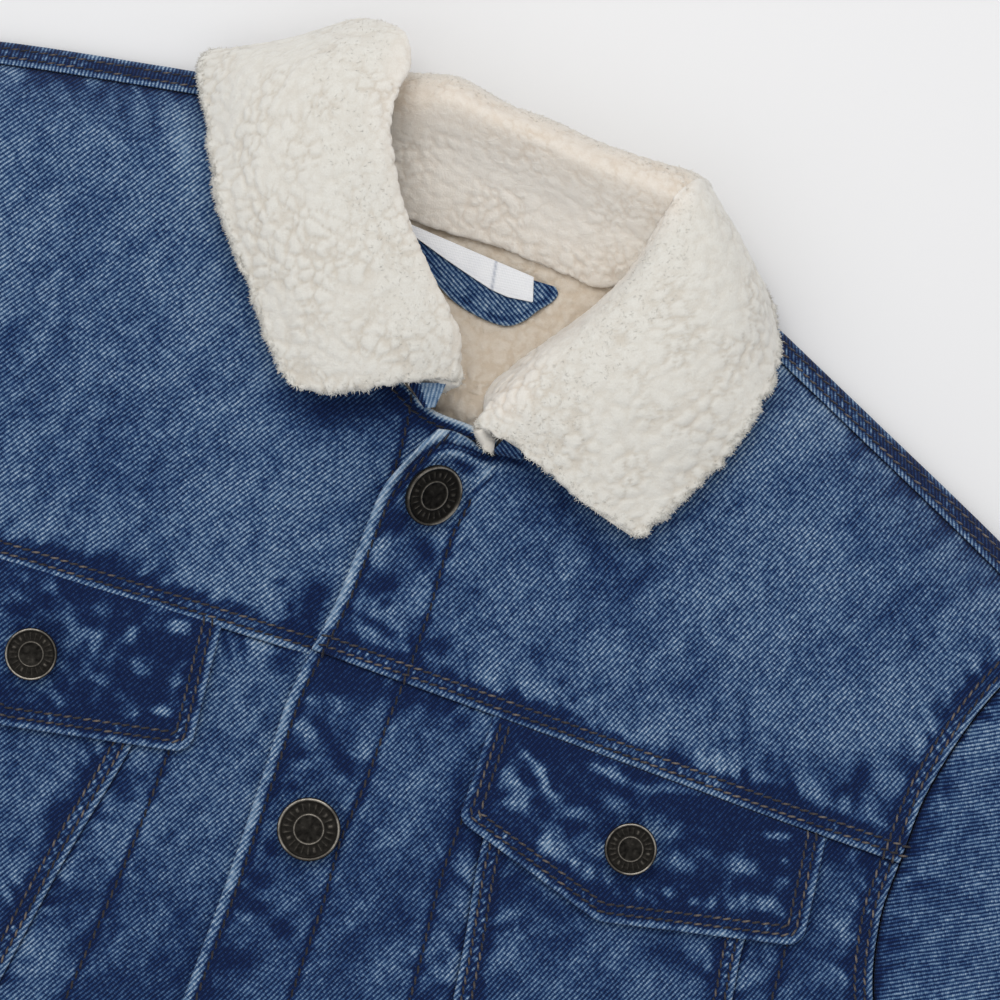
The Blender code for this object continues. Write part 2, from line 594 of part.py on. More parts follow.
def lining_piece(collection):
    """The sherpa of the back, from the neck seam to just above the waistband."""
    ring = outline_of(straight(LINING_OUTLINE + LINING_OUTLINE[:1], LONG_STEP))
    panel("lining_back", ring, lining_height, LINING, "sherpa", collection, LINING_SPACING)


def flap_pieces(collection):
    for name, corners in FLAPS.items():
        panel(f"pocket_flap_{name}", rounded(corners), flap_height, FLAP, "denim", collection, gap=0)


def collar_pieces(collection):
    """The sherpa collar in the three stretches between its bends, and the denim under the two leaves."""
    stretches = ("left", COLLAR_LEFT, True), ("right", COLLAR_RIGHT, False), ("back", COLLAR_BACK, False)
    for name, rows, flip in stretches:
        grid = surface(rows, *COLLAR_STEPS)
        shares = wall_shares(COLLAR_WALLS[name], len(grid[0]))
        grid_object(f"collar_{name}", grid, SHERPA, "sherpa", collection, flip, shares)
        if name == "back":
            continue
        normals = normals_of(grid)
        sign = 1 if name == "left" else -1
        depth = SHERPA + SEAM_GAP
        under = [[p - n * sign * depth for p, n in zip(row, line)] for row, line in zip(grid, normals)]
        fall = [row[UNDER_COLUMN:] for row in under[:UNDER_ROWS]]
        grid_object(f"undercollar_{name}", fall, UNDERCOLLAR, "denim", collection, flip)


def neck_pieces(collection):
    """The half-moon patch on the lining and the blank label on it."""
    x, y = PATCH_CENTRE
    arc = [Vector((x + PATCH_HALF_WIDTH * math.cos(a), y + PATCH_DEPTH * math.sin(a)))
           for a in (-math.pi * k / 14 for k in range(15))]
    top = [Vector((x + side * PATCH_TOP_HALF, y + PATCH_TOP_RISE)) for side in (1, -1)]
    ring = outline_of([top[1], top[0]], arc)
    panel("neck_patch", ring, lambda px, py: lining_height(px, py) + SEAM_GAP + PATCH + FACET_CLEAR, PATCH, "denim",
          collection, PATCH_SPACING)
    label = outline_of(straight(LABEL_CORNERS + LABEL_CORNERS[:1], PATCH_SPACING))
    label_lift = 2 * SEAM_GAP + PATCH + LABEL + 2 * FACET_CLEAR
    panel("neck_label", label, lambda px, py: lining_height(px, py) + label_lift, LABEL, "label", collection,
          PATCH_SPACING)


def button_mesh(name, radius):
    """The section of a tack button: a dished cap with a rolled rim and a raised ring, on a short post."""
    mesh = bpy.data.meshes.new(name)
    points = [(r * radius * MM, 0, z * MM) for r, z in BUTTON_PROFILE]
    mesh.from_pydata(points, [(i, i + 1) for i in range(len(points) - 1)], [])
    return mesh


def add_button(name, mesh, place, turn, collection):
    button = bpy.data.objects.new(name, mesh)
    button.location = (Vector(place) - ORIGIN) * MM
    button.rotation_euler = (0, math.radians(turn), 0)
    screw = button.modifiers.new("Screw", "SCREW")
    screw.steps = BUTTON_STEPS
    screw.render_steps = BUTTON_STEPS
    screw.use_merge_vertices = True
    screw.merge_threshold = MERGE
    collection.objects.link(button)


def button_pieces(collection):
    large = button_mesh("button_profile", BUTTON_RADIUS)
    small = button_mesh("small_button_profile", SMALL_BUTTON_RADIUS)
    for mesh in (large, small):
        mesh.materials.append(material_of("button"))
    clear = SHANK + 2 * SEAM_GAP
    on_yoke = (0, FIRST_BUTTON_Y, left_height(0, FIRST_BUTTON_Y) + clear + FIRST_BUTTON_LIFT)
    add_button("button_1", large, on_yoke, FIRST_BUTTON_TURN, collection)
    for k in (1, 2, 3):
        y = FIRST_BUTTON_Y - BUTTON_PITCH * k
        add_button(f"button_{k + 1}", large, (0, y, left_height(0, y) + clear), 0, collection)
    on_band = (0, LAST_BUTTON_Y, left_band_height(0, LAST_BUTTON_Y) + clear)
    add_button("button_5", large, on_band, 0, collection)
    for name, (x, y) in FLAP_BUTTONS.items():
        add_button(f"flap_button_{name}", small, (x, y, flap_height(x, y) + clear), 0, collection)
    for name, side in (("left", LEFT), ("right", RIGHT)):
        (outer, inner), mouth, along = cuff_lines(side)
        place = ((outer[-1] + mouth[0]) / 2).lerp((inner[-1] + mouth[1]) / 2, CUFF_BUTTON_PLACE)
        height = front_height(place.x, place.y) + BAND_PROUD + CUFF_BUTTON_LIFT + clear
        add_button(f"cuff_button_{name}", small, (place.x, place.y, height), 0, collection)


def build():
    for old in list(bpy.data.objects):
        bpy.data.objects.remove(old)
    collection = bpy.data.collections.new("sherpa_lined_jacket")
    bpy.context.scene.collection.children.link(collection)
    back_pieces(collection)
    lining_piece(collection)
    front_pieces(RIGHT, "right", right_height, right_band_height, collection)
    front_pieces(LEFT, "left", left_height, left_band_height, collection)
    for side, name in ((LEFT, "left"), (RIGHT, "right")):
        sleeve_pieces(side, name, collection)
    flap_pieces(collection)
    collar_pieces(collection)
    neck_pieces(collection)
    button_pieces(collection)


build()
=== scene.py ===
# Sherpa lined denim jacket, buttoned and laid on its back.
# Lengths are in millimetres from the point where the centre front crosses the yoke seam:
# x to the wearer's left, y up to the collar, z out of the front. toWorld turns them into the frame's metres.

import itertools
import math

import bpy
import numpy as np
from mathutils import Matrix, Vector, geometry, kdtree


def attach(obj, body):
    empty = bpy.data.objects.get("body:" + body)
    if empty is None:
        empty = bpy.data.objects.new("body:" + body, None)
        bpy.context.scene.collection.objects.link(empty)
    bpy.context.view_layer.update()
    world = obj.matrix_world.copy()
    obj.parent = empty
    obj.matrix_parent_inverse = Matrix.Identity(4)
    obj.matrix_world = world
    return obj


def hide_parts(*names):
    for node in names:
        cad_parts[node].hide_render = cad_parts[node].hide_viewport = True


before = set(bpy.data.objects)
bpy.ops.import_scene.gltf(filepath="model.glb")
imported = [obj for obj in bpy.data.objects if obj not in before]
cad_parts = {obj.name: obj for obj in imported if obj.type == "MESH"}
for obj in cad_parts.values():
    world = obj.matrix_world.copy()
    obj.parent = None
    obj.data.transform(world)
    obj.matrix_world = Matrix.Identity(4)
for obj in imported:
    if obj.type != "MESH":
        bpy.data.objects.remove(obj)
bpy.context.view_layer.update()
print("frame loaded")

origin = np.array([-4.5, -108.05, 0.0])  # the frame's origin, under the middle of the jacket
view = {"centre": (16.9, 50.6), "turn": 20.5, "width": 266.0, "away": 1200.0, "top": 24.0}


def toWorld(points):
    return (np.asarray(points, float) - origin) / 1000


def onAxes(x, y, angle):  # coordinates on axes that are turned by this angle
    c, s = math.cos(angle), math.sin(angle)
    return x * c + y * s, y * c - x * s


def inView(x, y, margin=10.0):
    across, up = onAxes(x - view["centre"][0], y - view["centre"][1], math.radians(view["turn"]))
    reach = view["width"] / 2 + margin
    return (np.abs(across) < reach) & (np.abs(up) < reach)


def everywhere(x, y, margin=0.0):
    return np.ones(np.shape(x), bool)


def nowhere(x, y, margin=0.0):
    return np.zeros(np.shape(x), bool)


def setCamera():
    turn = math.radians(view["turn"])
    camera = bpy.data.objects.new("camera", bpy.data.cameras.new("camera"))
    camera.location = toWorld((*view["centre"], view["away"]))
    camera.rotation_euler = (0, 0, turn)
    camera.data.sensor_width = 36
    camera.data.lens = 36 * (view["away"] - view["top"]) / view["width"]
    camera.data.clip_end = 30
    bpy.context.scene.collection.objects.link(camera)
    bpy.context.scene.camera = camera


setCamera()


def smooth(t):
    t = np.clip(t, 0.0, 1.0)
    return t * t * (3 - 2 * t)


def bell(t):
    return np.exp(-t * t)


def hashed(seed, *cells):  # a repeatable number from 0 to 1 for each cell of a lattice
    total = np.full(np.shape(cells[0]), 7919 * seed + 17, np.uint64)
    for cell, prime in zip(cells, (73856093, 19349663, 83492791)):
        total = (total ^ (cell.astype(np.int64) * prime).astype(np.uint64)) * np.uint64(0x9E3779B97F4A7C15)
        total = total ^ (total >> np.uint64(29))
    return (total >> np.uint64(11)).astype(float) / 2.0 ** 53


def noise(seed, *places):  # soft noise from -1 to 1, one hump per unit
    places = [np.atleast_1d(np.asarray(p, float)) for p in places]
    cells = [np.floor(p) for p in places]
    parts = [smooth(p - c) for p, c in zip(places, cells)]
    total = 0.0
    for corner in itertools.product((0, 1), repeat=len(places)):
        weight = 1.0
        for step, part in zip(corner, parts):
            weight = weight * (part if step else 1 - part)
        total = total + weight * hashed(seed, *[c + step for c, step in zip(cells, corner)])
    return 2 * total - 1


def nubs(seed, *places):  # distances to the nearest and the second nearest of scattered points, one per cell
    cells = [np.floor(p) for p in places]
    near = np.full(np.shape(places[0]), 9.0)
    second = near.copy()
    for step in itertools.product((-1, 0, 1), repeat=len(places)):
        cell = [c + s for c, s in zip(cells, step)]
        gap = 0.0
        for k, (c, p) in enumerate(zip(cell, places)):
            gap = gap + (c + 0.12 + 0.76 * hashed(seed + 31 * k, *cell) - p) ** 2
        gap = np.sqrt(gap)
        second = np.minimum(second, np.maximum(near, gap))
        near = np.minimum(near, gap)
    return near, second


def through(points, step):  # points at this spacing along the smooth curve through a table's points
    table = [np.array(p, float) for p in points]
    table = [2 * table[0] - table[1]] + table + [2 * table[-1] - table[-2]]
    found = []
    for a, b, c, d in zip(table, table[1:], table[2:], table[3:]):
        count = max(1, round(np.linalg.norm(c - b) / step))
        t = (np.arange(count) / count)[:, None]
        found.append(0.5 * (2 * b + (c - a) * t + (2 * a - 5 * b + 4 * c - d) * t ** 2
                            + (3 * b - a - 3 * c + d) * t ** 3))
    return np.vstack(found + [table[-2][None]])


def straight(points, step):
    found = []
    for a, b in zip(np.array(points[:-1], float), np.array(points[1:], float)):
        count = max(1, round(np.linalg.norm(b - a) / step))
        found.append(a + (b - a) * (np.arange(count) / count)[:, None])
    return np.vstack(found + [np.array(points[-1:], float)])


def evenly(line, step):  # the same line with evenly spaced points
    line = np.asarray(line, float)
    run = np.concatenate([[0], np.cumsum(np.linalg.norm(np.diff(line, axis=0), axis=1))])
    places = np.linspace(0, run[-1], max(2, round(run[-1] / step) + 1))
    return np.column_stack([np.interp(places, run, line[:, k]) for k in range(line.shape[1])])


def resampled(ring, step):  # a closed ring with evenly spaced points
    return evenly(np.vstack([ring, ring[:1]]), step)[:-1]


def beside(line, distance):  # the line moved to the left of its direction
    slope = np.gradient(np.asarray(line, float), axis=0)
    slope /= np.maximum(np.linalg.norm(slope, axis=1), 1e-9)[:, None]
    return line + distance * np.column_stack([-slope[:, 1], slope[:, 0]])


def alongLine(x, y, line):  # distance from a line, and the place along it
    best = np.full(np.shape(x), 1e9)
    place = np.zeros(np.shape(x))
    start = 0.0
    for (ax, ay), (bx, by) in zip(line, line[1:]):
        dx, dy = bx - ax, by - ay
        length = math.hypot(dx, dy)
        if length < 1e-9:
            continue
        t = np.clip(((x - ax) * dx + (y - ay) * dy) / length ** 2, 0, 1)
        gap = np.hypot(x - ax - t * dx, y - ay - t * dy)
        nearer = gap < best
        best = np.where(nearer, gap, best)
        place = np.where(nearer, start + t * length, place)
        start += length
    return best, place


def insideRing(x, y, ring):
    inside = np.zeros(np.shape(x), bool)
    for (ax, ay), (bx, by) in zip(ring, np.roll(ring, -1, axis=0)):
        if ay != by:
            inside ^= ((ay > y) != (by > y)) & (x < ax + (y - ay) * (bx - ax) / (by - ay))
    return inside


def fromEdge(x, y, ring):  # distance from a closed line
    closed = evenly(np.vstack([ring, ring[:1]]), 0.3)
    tree = kdtree.KDTree(len(closed))
    for i, (px, py) in enumerate(closed.tolist()):
        tree.insert((px, py, 0), i)
    tree.balance()
    return np.array([tree.find((px, py, 0))[2] for px, py in zip(x.tolist(), y.tolist())])


def ringOf(*stretches):  # one counter-clockwise ring from lines that follow each other
    ring = []
    for point in np.vstack([np.atleast_2d(s) for s in stretches]):
        if not ring or np.hypot(*(point - ring[-1])) > 0.3:
            ring.append(point)
    if np.hypot(*(ring[0] - ring[-1])) < 0.3:
        ring.pop()
    ring = np.array(ring)
    after = np.roll(ring, -1, axis=0)
    turn = (ring[:, 0] * after[:, 1] - after[:, 0] * ring[:, 1]).sum()
    return ring if turn > 0 else ring[::-1]


def polygon(corners, step=1.0):
    return ringOf(straight([*corners, corners[0]], step))


def areaOf(ring):
    after = np.roll(ring, -1, axis=0)
    return abs((ring[:, 0] * after[:, 1] - after[:, 0] * ring[:, 1]).sum()) / 2


def moved(ring, distance):  # a ring moved inwards
    before, after = np.roll(ring, 1, axis=0), np.roll(ring, -1, axis=0)
    normals = []
    for a, b in ((before, ring), (ring, after)):
        d = b - a
        d = d / np.maximum(np.hypot(d[:, 0], d[:, 1]), 1e-9)[:, None]
        normals.append(np.stack([-d[:, 1], d[:, 0]], axis=1))
    share = np.maximum(1 + (normals[0] * normals[1]).sum(axis=1), 0.5)
    return ring + (normals[0] + normals[1]) * distance / share[:, None]


def rounded(corners, step=8.0):  # a ring whose corners are rounded with arcs of their own radius
    ring = []
    for i, (corner, radius) in enumerate(corners):
        corner = Vector(corner)
        if not radius:
            ring.append(corner)
            continue
        toBefore = (Vector(corners[i - 1][0]) - corner).normalized()
        toAfter = (Vector(corners[(i + 1) % len(corners)][0]) - corner).normalized()
        half = toBefore.angle(toAfter) / 2
        middle = corner + (toBefore + toAfter).normalized() * radius / math.sin(half)
        start = corner + toBefore * radius / math.tan(half) - middle
        turn = math.copysign(math.pi - 2 * half, start.x * toAfter.y - start.y * toAfter.x)
        count = max(2, round(abs(math.degrees(turn)) / step))
        ring += [middle + Matrix.Rotation(turn * k / count, 2) @ start for k in range(count + 1)]
    return np.array([tuple(p) for p in ring])


class Wire:  # a socket of a material, which Python's operators extend with Math nodes
    def __init__(self, tree, socket=None):
        self.tree, self.socket = tree, socket

    def node(self, kind, settings=None, sockets=None, output=0):
        made = self.tree.nodes.new("ShaderNode" + kind)
        for key, value in (settings or {}).items():
            if key != "stops":
                setattr(made, key, value)
                continue
            ramp = made.color_ramp
            while len(ramp.elements) < len(value):
                ramp.elements.new(0.5)
            for element, (place, colour) in zip(ramp.elements, value):
                element.position, element.color = place, colour
        for key, value in (sockets or {}).items():
            if isinstance(value, Wire):
                self.tree.links.new(value.socket, made.inputs[key])
            else:
                made.inputs[key].default_value = value
        return Wire(self.tree, made.outputs[output])

    def maths(self, operation, *values):
        return self.node("Math", {"operation": operation}, dict(enumerate(values)))

    def blend(self, low, high):  # one colour where this value is 0, the other where it is 1
        return self.node("Mix", {"data_type": "RGBA"}, {0: self, 6: low, 7: high}, 2)

    def noise(self, place, scale, detail=2.0, **more):
        sockets = {"Vector": place, "Scale": scale, "Detail": detail, **more}
        return self.node("TexNoise", None, sockets)

    def attribute(self, name, output=2):  # output 1 is a vector, 2 a number
        return self.node("Attribute", {"attribute_name": name}, output=output)

    def eased(self, low, high, first, last):  # first up to the value low, last from the value high
        return self.node("MapRange", {"interpolation_type": "SMOOTHSTEP"},
                         {0: self, 1: low, 2: high, 3: first, 4: last})

    def ramp(self, stops):
        stops = [(place, colourOf(code)) for place, code in stops]
        return self.node("ValToRGB", {"stops": stops}, {0: self})

    def bump(self, strength, depth):
        return self.node("Bump", None, {"Height": self, "Strength": strength, "Distance": depth})

    def __add__(self, other):
        return self.maths("ADD", self, other)

    def __sub__(self, other):
        return self.maths("SUBTRACT", self, other)

    def __rsub__(self, other):
        return self.maths("SUBTRACT", other, self)

    def __mul__(self, other):
        return self.maths("MULTIPLY", self, other)

    __radd__, __rmul__ = __add__, __mul__


def colourOf(code):  # a colour of the screen as the linear one of a material
    parts = [int(code[k:k + 2], 16) / 255 for k in (1, 3, 5)]
    return (*[c / 12.92 if c < 0.04045 else ((c + 0.055) / 1.055) ** 2.4 for c in parts], 1.0)


def newLook(name, **fixed):  # a material, the wire that starts its nodes, and its shader
    look = bpy.data.materials.new(name)
    look.use_nodes = True
    shader = look.node_tree.nodes["Principled BSDF"]
    for key, value in fixed.items():
        shader.inputs[key.replace("_", " ")].default_value = value
    return look, Wire(look.node_tree), shader


def drive(wire, shader, **values):
    for key, value in values.items():
        wire.tree.links.new(value.socket, shader.inputs[key.replace("_", " ")])


denimLook = {
    "pitch": 1.0,  # between two lines of the twill
    "lines": 0.24,  # how strongly the lines show
    "float": 0.52,  # length of one float of the yarn along a line
    "beads": 0.09,
    "flecks": 0.28,  # how much one float differs from the next
    "slubs": 0.42,
    "specks": 0.55,
    "clouds": 0.24,
    "dyed": 0.10, "rubbed": 0.52,  # the tones from which the cloth is fully dark and fully worn
    "depth": 0.00018,
    "stops": ((0.0, "#041131"), (0.2, "#0C2552"), (0.4, "#2A476E"), (0.6, "#547191"), (0.8, "#859BB3"),
              (1.0, "#B5C3CF")),
}


def makeDenim():
    look, start, shader = newLook("washedDenim", Roughness=0.88, Sheen_Weight=0.06, Sheen_Roughness=0.5,
                                  Specular_IOR_Level=0.15)
    cloth = start.attribute("cloth", 1)
    tone = start.attribute("tone")
    along = start.node("SeparateXYZ", None, {0: cloth}, 0)
    across = start.node("SeparateXYZ", None, {0: cloth}, 1)
    waver = start.noise(cloth, 0.05) * 1.3
    tremor = start.noise(cloth, 0.8, 1.0) * 0.24
    turns = (across + waver + tremor) * (1 / denimLook["pitch"])
    line = start.node("Clamp", None, {0: start.maths("SINE", turns * (2 * math.pi)) * 1.4, 1: -1.0, 2: 1.0})
    row = start.maths("FLOOR", turns + 0.25)
    place = along * (1 / denimLook["float"]) + row * 0.37
    cell = start.node("CombineXYZ", None, {0: row, 1: start.maths("FLOOR", place)})
    fleck = start.node("TexWhiteNoise", {"noise_dimensions": "2D"}, {"Vector": cell})
    bead = start.maths("SINE", place * (2 * math.pi))
    stretched = start.node("CombineXYZ", None, {0: along * 0.55, 1: across * 1.7})
    slub = start.noise(stretched, 1.0, 3.0)
    speck = start.noise(cloth, 2.6, 3.0)
    cloud = start.noise(cloth, 0.17, 4.0, Roughness=0.6)
    washed = tone + (cloud - 0.5) * denimLook["clouds"]
    worn = washed.eased(denimLook["dyed"], denimLook["rubbed"], 0.05, 0.50)
    worn = worn + start.maths("MAXIMUM", washed - denimLook["rubbed"], 0.0) * 0.9
    grain = ((slub - 0.5) * denimLook["slubs"] + (speck - 0.5) * denimLook["specks"]
             + (fleck - 0.5) * denimLook["flecks"] + bead * (line * 0.5 + 0.6) * denimLook["beads"])
    bare = washed.eased(0.55, 0.8, 1.0, 0.4)  # worn cloth shows less of its weave
    worth = worn + (line * denimLook["lines"] + grain) * (worn * 0.6 + 0.6) * bare
    worth = start.maths("MAXIMUM", worth, 0.03)
    relief = line * 0.5 + slub * 0.8 + speck * 0.5 + fleck * 0.3
    drive(start, shader, Base_Color=worth.ramp(denimLook["stops"]),
          Normal=relief.bump(0.75, denimLook["depth"]))
    return look


# The hollow colours stand for painted shade in the pile's crevices, the pile colours for its lit tops
sherpaLook = {"pile": "#E2E0D9", "hollow": "#C3B8A8", "warmPile": "#F1ECE4", "warmHollow": "#D3C2AE"}


def makeSherpa():
    look, start, shader = newLook("sherpaPile", Roughness=0.95, Sheen_Weight=0.35, Sheen_Roughness=0.6,
                                  Specular_IOR_Level=0.1)
    place = start.node("TexCoord", output=3)
    # the pile's tone, which carries painted shade in its crevices and painted light along its brims
    nap = start.attribute("nap")
    warm = start.attribute("warm")
    fibres = start.noise(place, 2100.0, 3.0, Roughness=0.7)
    curls = start.noise(place, 420.0, 2.0, Distortion=1.2)
    share = nap + (fibres - 0.5) * 0.5 + (curls - 0.5) * 0.26
    cool = share.blend(colourOf(sherpaLook["hollow"]), colourOf(sherpaLook["pile"]))
    cosy = share.blend(colourOf(sherpaLook["warmHollow"]), colourOf(sherpaLook["warmPile"]))
    relief = fibres * 0.9 + curls * 0.8
    drive(start, shader, Base_Color=warm.blend(cool, cosy), Normal=relief.bump(0.6, 0.0004))
    return look


threadStops = ((0.0, "#0F0F18"), (0.45, "#332E2E"), (1.0, "#857A70"))
metalStops = ((0.0, "#141312"), (0.4, "#2D2B28"), (0.75, "#57534D"), (1.0, "#A09A90"))
satinStops = ((0.0, "#6C7488"), (0.5, "#BFC4CF"), (1.0, "#F1F3F7"))


def makeThread():
    look, start, shader = newLook("seamThread", Roughness=0.7, Sheen_Weight=0.2, Specular_IOR_Level=0.3)
    place = start.node("TexCoord", output=3)
    tone = start.attribute("tone")
    twist = start.noise(place, 3500.0)
    share = tone + (twist - 0.5) * 0.6
    drive(start, shader, Base_Color=share.ramp(threadStops), Normal=twist.bump(0.6, 0.0002))
    return look


def makeMetal():
    look, start, shader = newLook("agedBrass", Metallic=1.0, Specular_IOR_Level=0.5)
    place = start.node("TexCoord", output=3)
    rub = start.attribute("rub")
    spots = start.noise(place, 900.0, 4.0, Roughness=0.7)
    share = rub + (spots - 0.5) * 0.45
    drive(start, shader, Base_Color=share.ramp(metalStops), Roughness=0.62 - share * 0.3,
          Normal=spots.bump(0.35, 0.0002))
    return look


def makeLabel():
    look, start, shader = newLook("labelSatin", Roughness=0.55, Sheen_Weight=0.15, Specular_IOR_Level=0.4)
    cloth = start.attribute("cloth", 1)
    tone = start.attribute("tone")
    along = start.node("SeparateXYZ", None, {0: cloth}, 0)
    across = start.node("SeparateXYZ", None, {0: cloth}, 1)
    weave = start.maths("SINE", along * 14.0) * 0.5 + start.maths("SINE", across * 9.0) * 0.5
    share = tone + weave * 0.05 + (start.noise(cloth, 1.3) - 0.5) * 0.12
    drive(start, shader, Base_Color=share.ramp(satinStops), Normal=weave.bump(0.4, 0.0001))
    return look


def makeFloor():
    look, start, shader = newLook("paleFloor", Roughness=0.8, Specular_IOR_Level=0.2)
    place = start.node("TexCoord", output=3)
    share = start.noise(place, 3.0) * 0.2 + 0.4
    drive(start, shader, Base_Color=share.blend(colourOf("#EAEAEB"), colourOf("#EDEDEE")))
    return look


looks = {"denim": makeDenim(), "sherpa": makeSherpa(), "thread": makeThread(), "metal": makeMetal(),
         "label": makeLabel(), "floor": makeFloor()}
print("materials made")


# The cut: seams of the wearer's left (+x) and right side
leftSide = {
    "neckline": [(-5.2, 62.7), (-1, 63.6), (3.9, 63.1), (8, 61.6), (11, 60.9), (12.6, 64), (15, 69),
                 (20, 71), (26, 73.5), (32, 79), (46, 98), (56, 114), (60.5, 125.2)],
    "shoulder": [(60.5, 125.2), (74.5, 119.3), (103.6, 106.8), (140.6, 90.8), (172.6, 76.2)],
    "armholeUpper": [(172.6, 76.2), (158, 48), (151, 20), (150.3, -2.1)],
    "armholeLower": [(150.3, -2.1), (151, -20), (158, -42), (177, -67), (212, -90)],
    "side": [(212, -90), (208, -200), (203, -335)],
    "yokeSeam": [(-16.3, -3.6), (43.5, -3.0), (117, -2.7), (150.3, -2.1)],
    "waistSeam": [(-15.8, -335), (80, -335), (116, -335), (203, -335)],
    "innerSeam": [(43.5, -3.0), (45, -37), (52.2, -78), (66, -180), (80, -335)],
    "outerSeam": [(117, -2.7), (118.4, -37), (121.5, -60), (124.5, -120), (122, -220), (116, -335)],
    "edgeYoke": [(-16.3, -3.6), (-14.6, 12), (-14.2, 30.5), (-13.6, 42), (-11.2, 49.8), (-7.9, 57.5),
                 (-5.2, 62.7)],
    "edgeLow": [(-16.3, -3.6), (-17.7, -18), (-17.2, -33), (-16.2, -60), (-15.8, -104), (-15.8, -335)],
    "sleeveOuter": [(172.6, 76.2), (201, 58), (228, 33), (256, 1), (312, -68), (392, -172), (474, -276)],
    "sleeveInner": [(212, -90), (272, -164), (334, -245), (397, -326)],
}
rightSide = {
    "neckline": [(11, 65.5), (3, 66.7), (-9, 67.2), (-20, 72), (-40, 84), (-62, 103), (-76, 122),
                 (-80.3, 134.6)],
    "shoulder": [(-80.3, 134.6), (-118.3, 127.1), (-150.3, 120.4), (-174.4, 113.8)],
    "armholeUpper": [(-174.4, 113.8), (-160, 76), (-152.5, 35), (-151, -13)],
    "armholeLower": [(-151, -13), (-156, -37), (-176, -63), (-212, -85)],
    "side": [(-212, -85), (-208, -200), (-203, -335)],
    "yokeSeam": [(11, -4.0), (-50, -7.2), (-122, -11.5), (-151, -13)],
    "waistSeam": [(11, -335), (-84, -335), (-118, -335), (-203, -335)],
    "innerSeam": [(-50, -7.2), (-52.5, -45), (-60, -90), (-72, -190), (-84, -335)],
    "outerSeam": [(-122, -11.5), (-123.5, -45), (-126.5, -110), (-124, -220), (-118, -335)],
    "edgeYoke": [(11, -4.0), (11, 30), (11, 65.5)],
    "edgeLow": [(11, -4.0), (11, -160), (11, -335)],
    "sleeveOuter": [(-174.4, 113.8), (-203, 93), (-231, 65), (-262, 27), (-320, -48), (-400, -152),
                    (-483, -257)],
    "sleeveInner": [(-212, -85), (-276, -158), (-342, -234), (-409, -311)],
}
hem = {"waist": -335.0, "y": -375.0, "taper": 0.99, "cuff": 45.0,
       "band": 6.3,  # width of the back yoke's strip on the front
       "under": 4.5}  # how far the fronts reach under the waistband
sides = {"left": leftSide, "right": rightSide}
for side in sides.values():
    side["lines"] = {key: straight(table, 1.0) if key in ("yokeSeam", "waistSeam") else through(table, 1.0)
                     for key, table in side.items()}

form = {  # the lying garment
    "rise": 24.0, "edge": 3.3, "reach": 30.0, "hemFall": 6.0, "hemStart": -245.0, "sleeveFall": 8.5,
    "sleeveStart": 230.0, "lapDrop": 2.2, "lapStart": -42.0, "lapFull": -22.0, "lift": 6.0, "proud": 1.2,
    "denim": 1.5, "band": 2.0, "flap": 2.2, "lining": 5.0, "pile": 6.0, "gap": 0.3,
}
foldLines = [np.vstack([through(s["shoulder"], 20), through(s["sleeveOuter"], 20)[1:]])
             for s in sides.values()]
foldLines += [through(s[key], 20) for s in sides.values() for key in ("side", "sleeveInner")]
foldLines += [np.array([s["side"][-1], (s["side"][-1][0] * hem["taper"], hem["y"])])
              for s in sides.values()]


def frontHeight(x, y):  # low along the folds where the front meets the back, full height inside
    distance = np.minimum.reduce([alongLine(x, y, fold)[0] for fold in foldLines])
    toHem = smooth((form["hemStart"] - y) / (form["hemStart"] - hem["waist"]))
    toCuff = smooth((np.abs(x) - form["sleeveStart"]) / 180)
    crown = form["rise"] - form["hemFall"] * toHem - form["sleeveFall"] * toCuff
    arch = np.sin(math.pi / 2 * np.minimum(distance / form["reach"], 1))
    return form["edge"] + (crown - form["edge"]) * arch


def leftHeight(x, y):  # the top corner of the left front stands up
    return frontHeight(x, y) + form["lift"] * bell((x + 13) / 13) * smooth((y - 18) / 28)


def lapped(x):  # 1 where the right front is under the left one
    return smooth((x - form["lapStart"]) / (form["lapFull"] - form["lapStart"]))


def rightHeight(x, y):
    return frontHeight(x, y) - form["lapDrop"] * lapped(x)


def unlapped(x):  # 1 where no seam of the right front is pressed by the left one
    return 1 - smooth((x + 26) / 8)


def liningHeight(x, y):
    return (form["denim"] + form["gap"] + form["lining"] + 1.5 * bell(np.hypot(x / 60, (y - 88) / 30))
            + 9 * bell(np.hypot((x - 4) / 24, (y - 70) / 13)))


net = {  # spacing of the points of a cut piece, in view and out of it, on its underside and on its rim
    "fine": 1.1, "coarse": 3.4, "under": 9.0, "rim": 0.45,
    "bend": 0.48, "mostBend": 0.9,  # the rim's rounding as a part of the wall, and at most
    "underTone": 0.3,
}


def addAttribute(data, key, values, kind="FLOAT", field="value"):
    data.attributes.new(key, kind, "POINT").data.foreach_set(field, np.asarray(values, np.float32).ravel())


def newPiece(name, points, faces, look, values=None, vectors=None, smoothAngle=60):
    data = bpy.data.meshes.new(name)
    data.from_pydata(toWorld(points).tolist(), [], [tuple(map(int, face)) for face in faces])
    data.materials.append(look)
    for key, value in (values or {}).items():
        addAttribute(data, key, value)
    for key, value in (vectors or {}).items():
        addAttribute(data, key, value, "FLOAT_VECTOR", "vector")
    data.shade_smooth()
    data.set_sharp_from_angle(angle=math.radians(smoothAngle))
    piece = bpy.data.objects.new(name, data)
    bpy.context.scene.collection.objects.link(piece)
    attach(piece, "root")
    return piece


def smallestBox(ring):  # sides of the smallest rectangle round a cut piece
    best = None
    for degrees in range(0, 90, 3):
        spans = [np.ptp(v) for v in onAxes(ring[:, 0], ring[:, 1], math.radians(degrees))]
        if best is None or spans[0] * spans[1] < best[0] * best[1]:
            best = spans
    return best


sheetLimits = {"side": 10.5, "share": 0.302}


def declareCut(ring):
    width, length = (max(span, sheetLimits["side"]) for span in smallestBox(ring))
    area = max(areaOf(ring), sheetLimits["share"] * width * length)
    area / 1e6


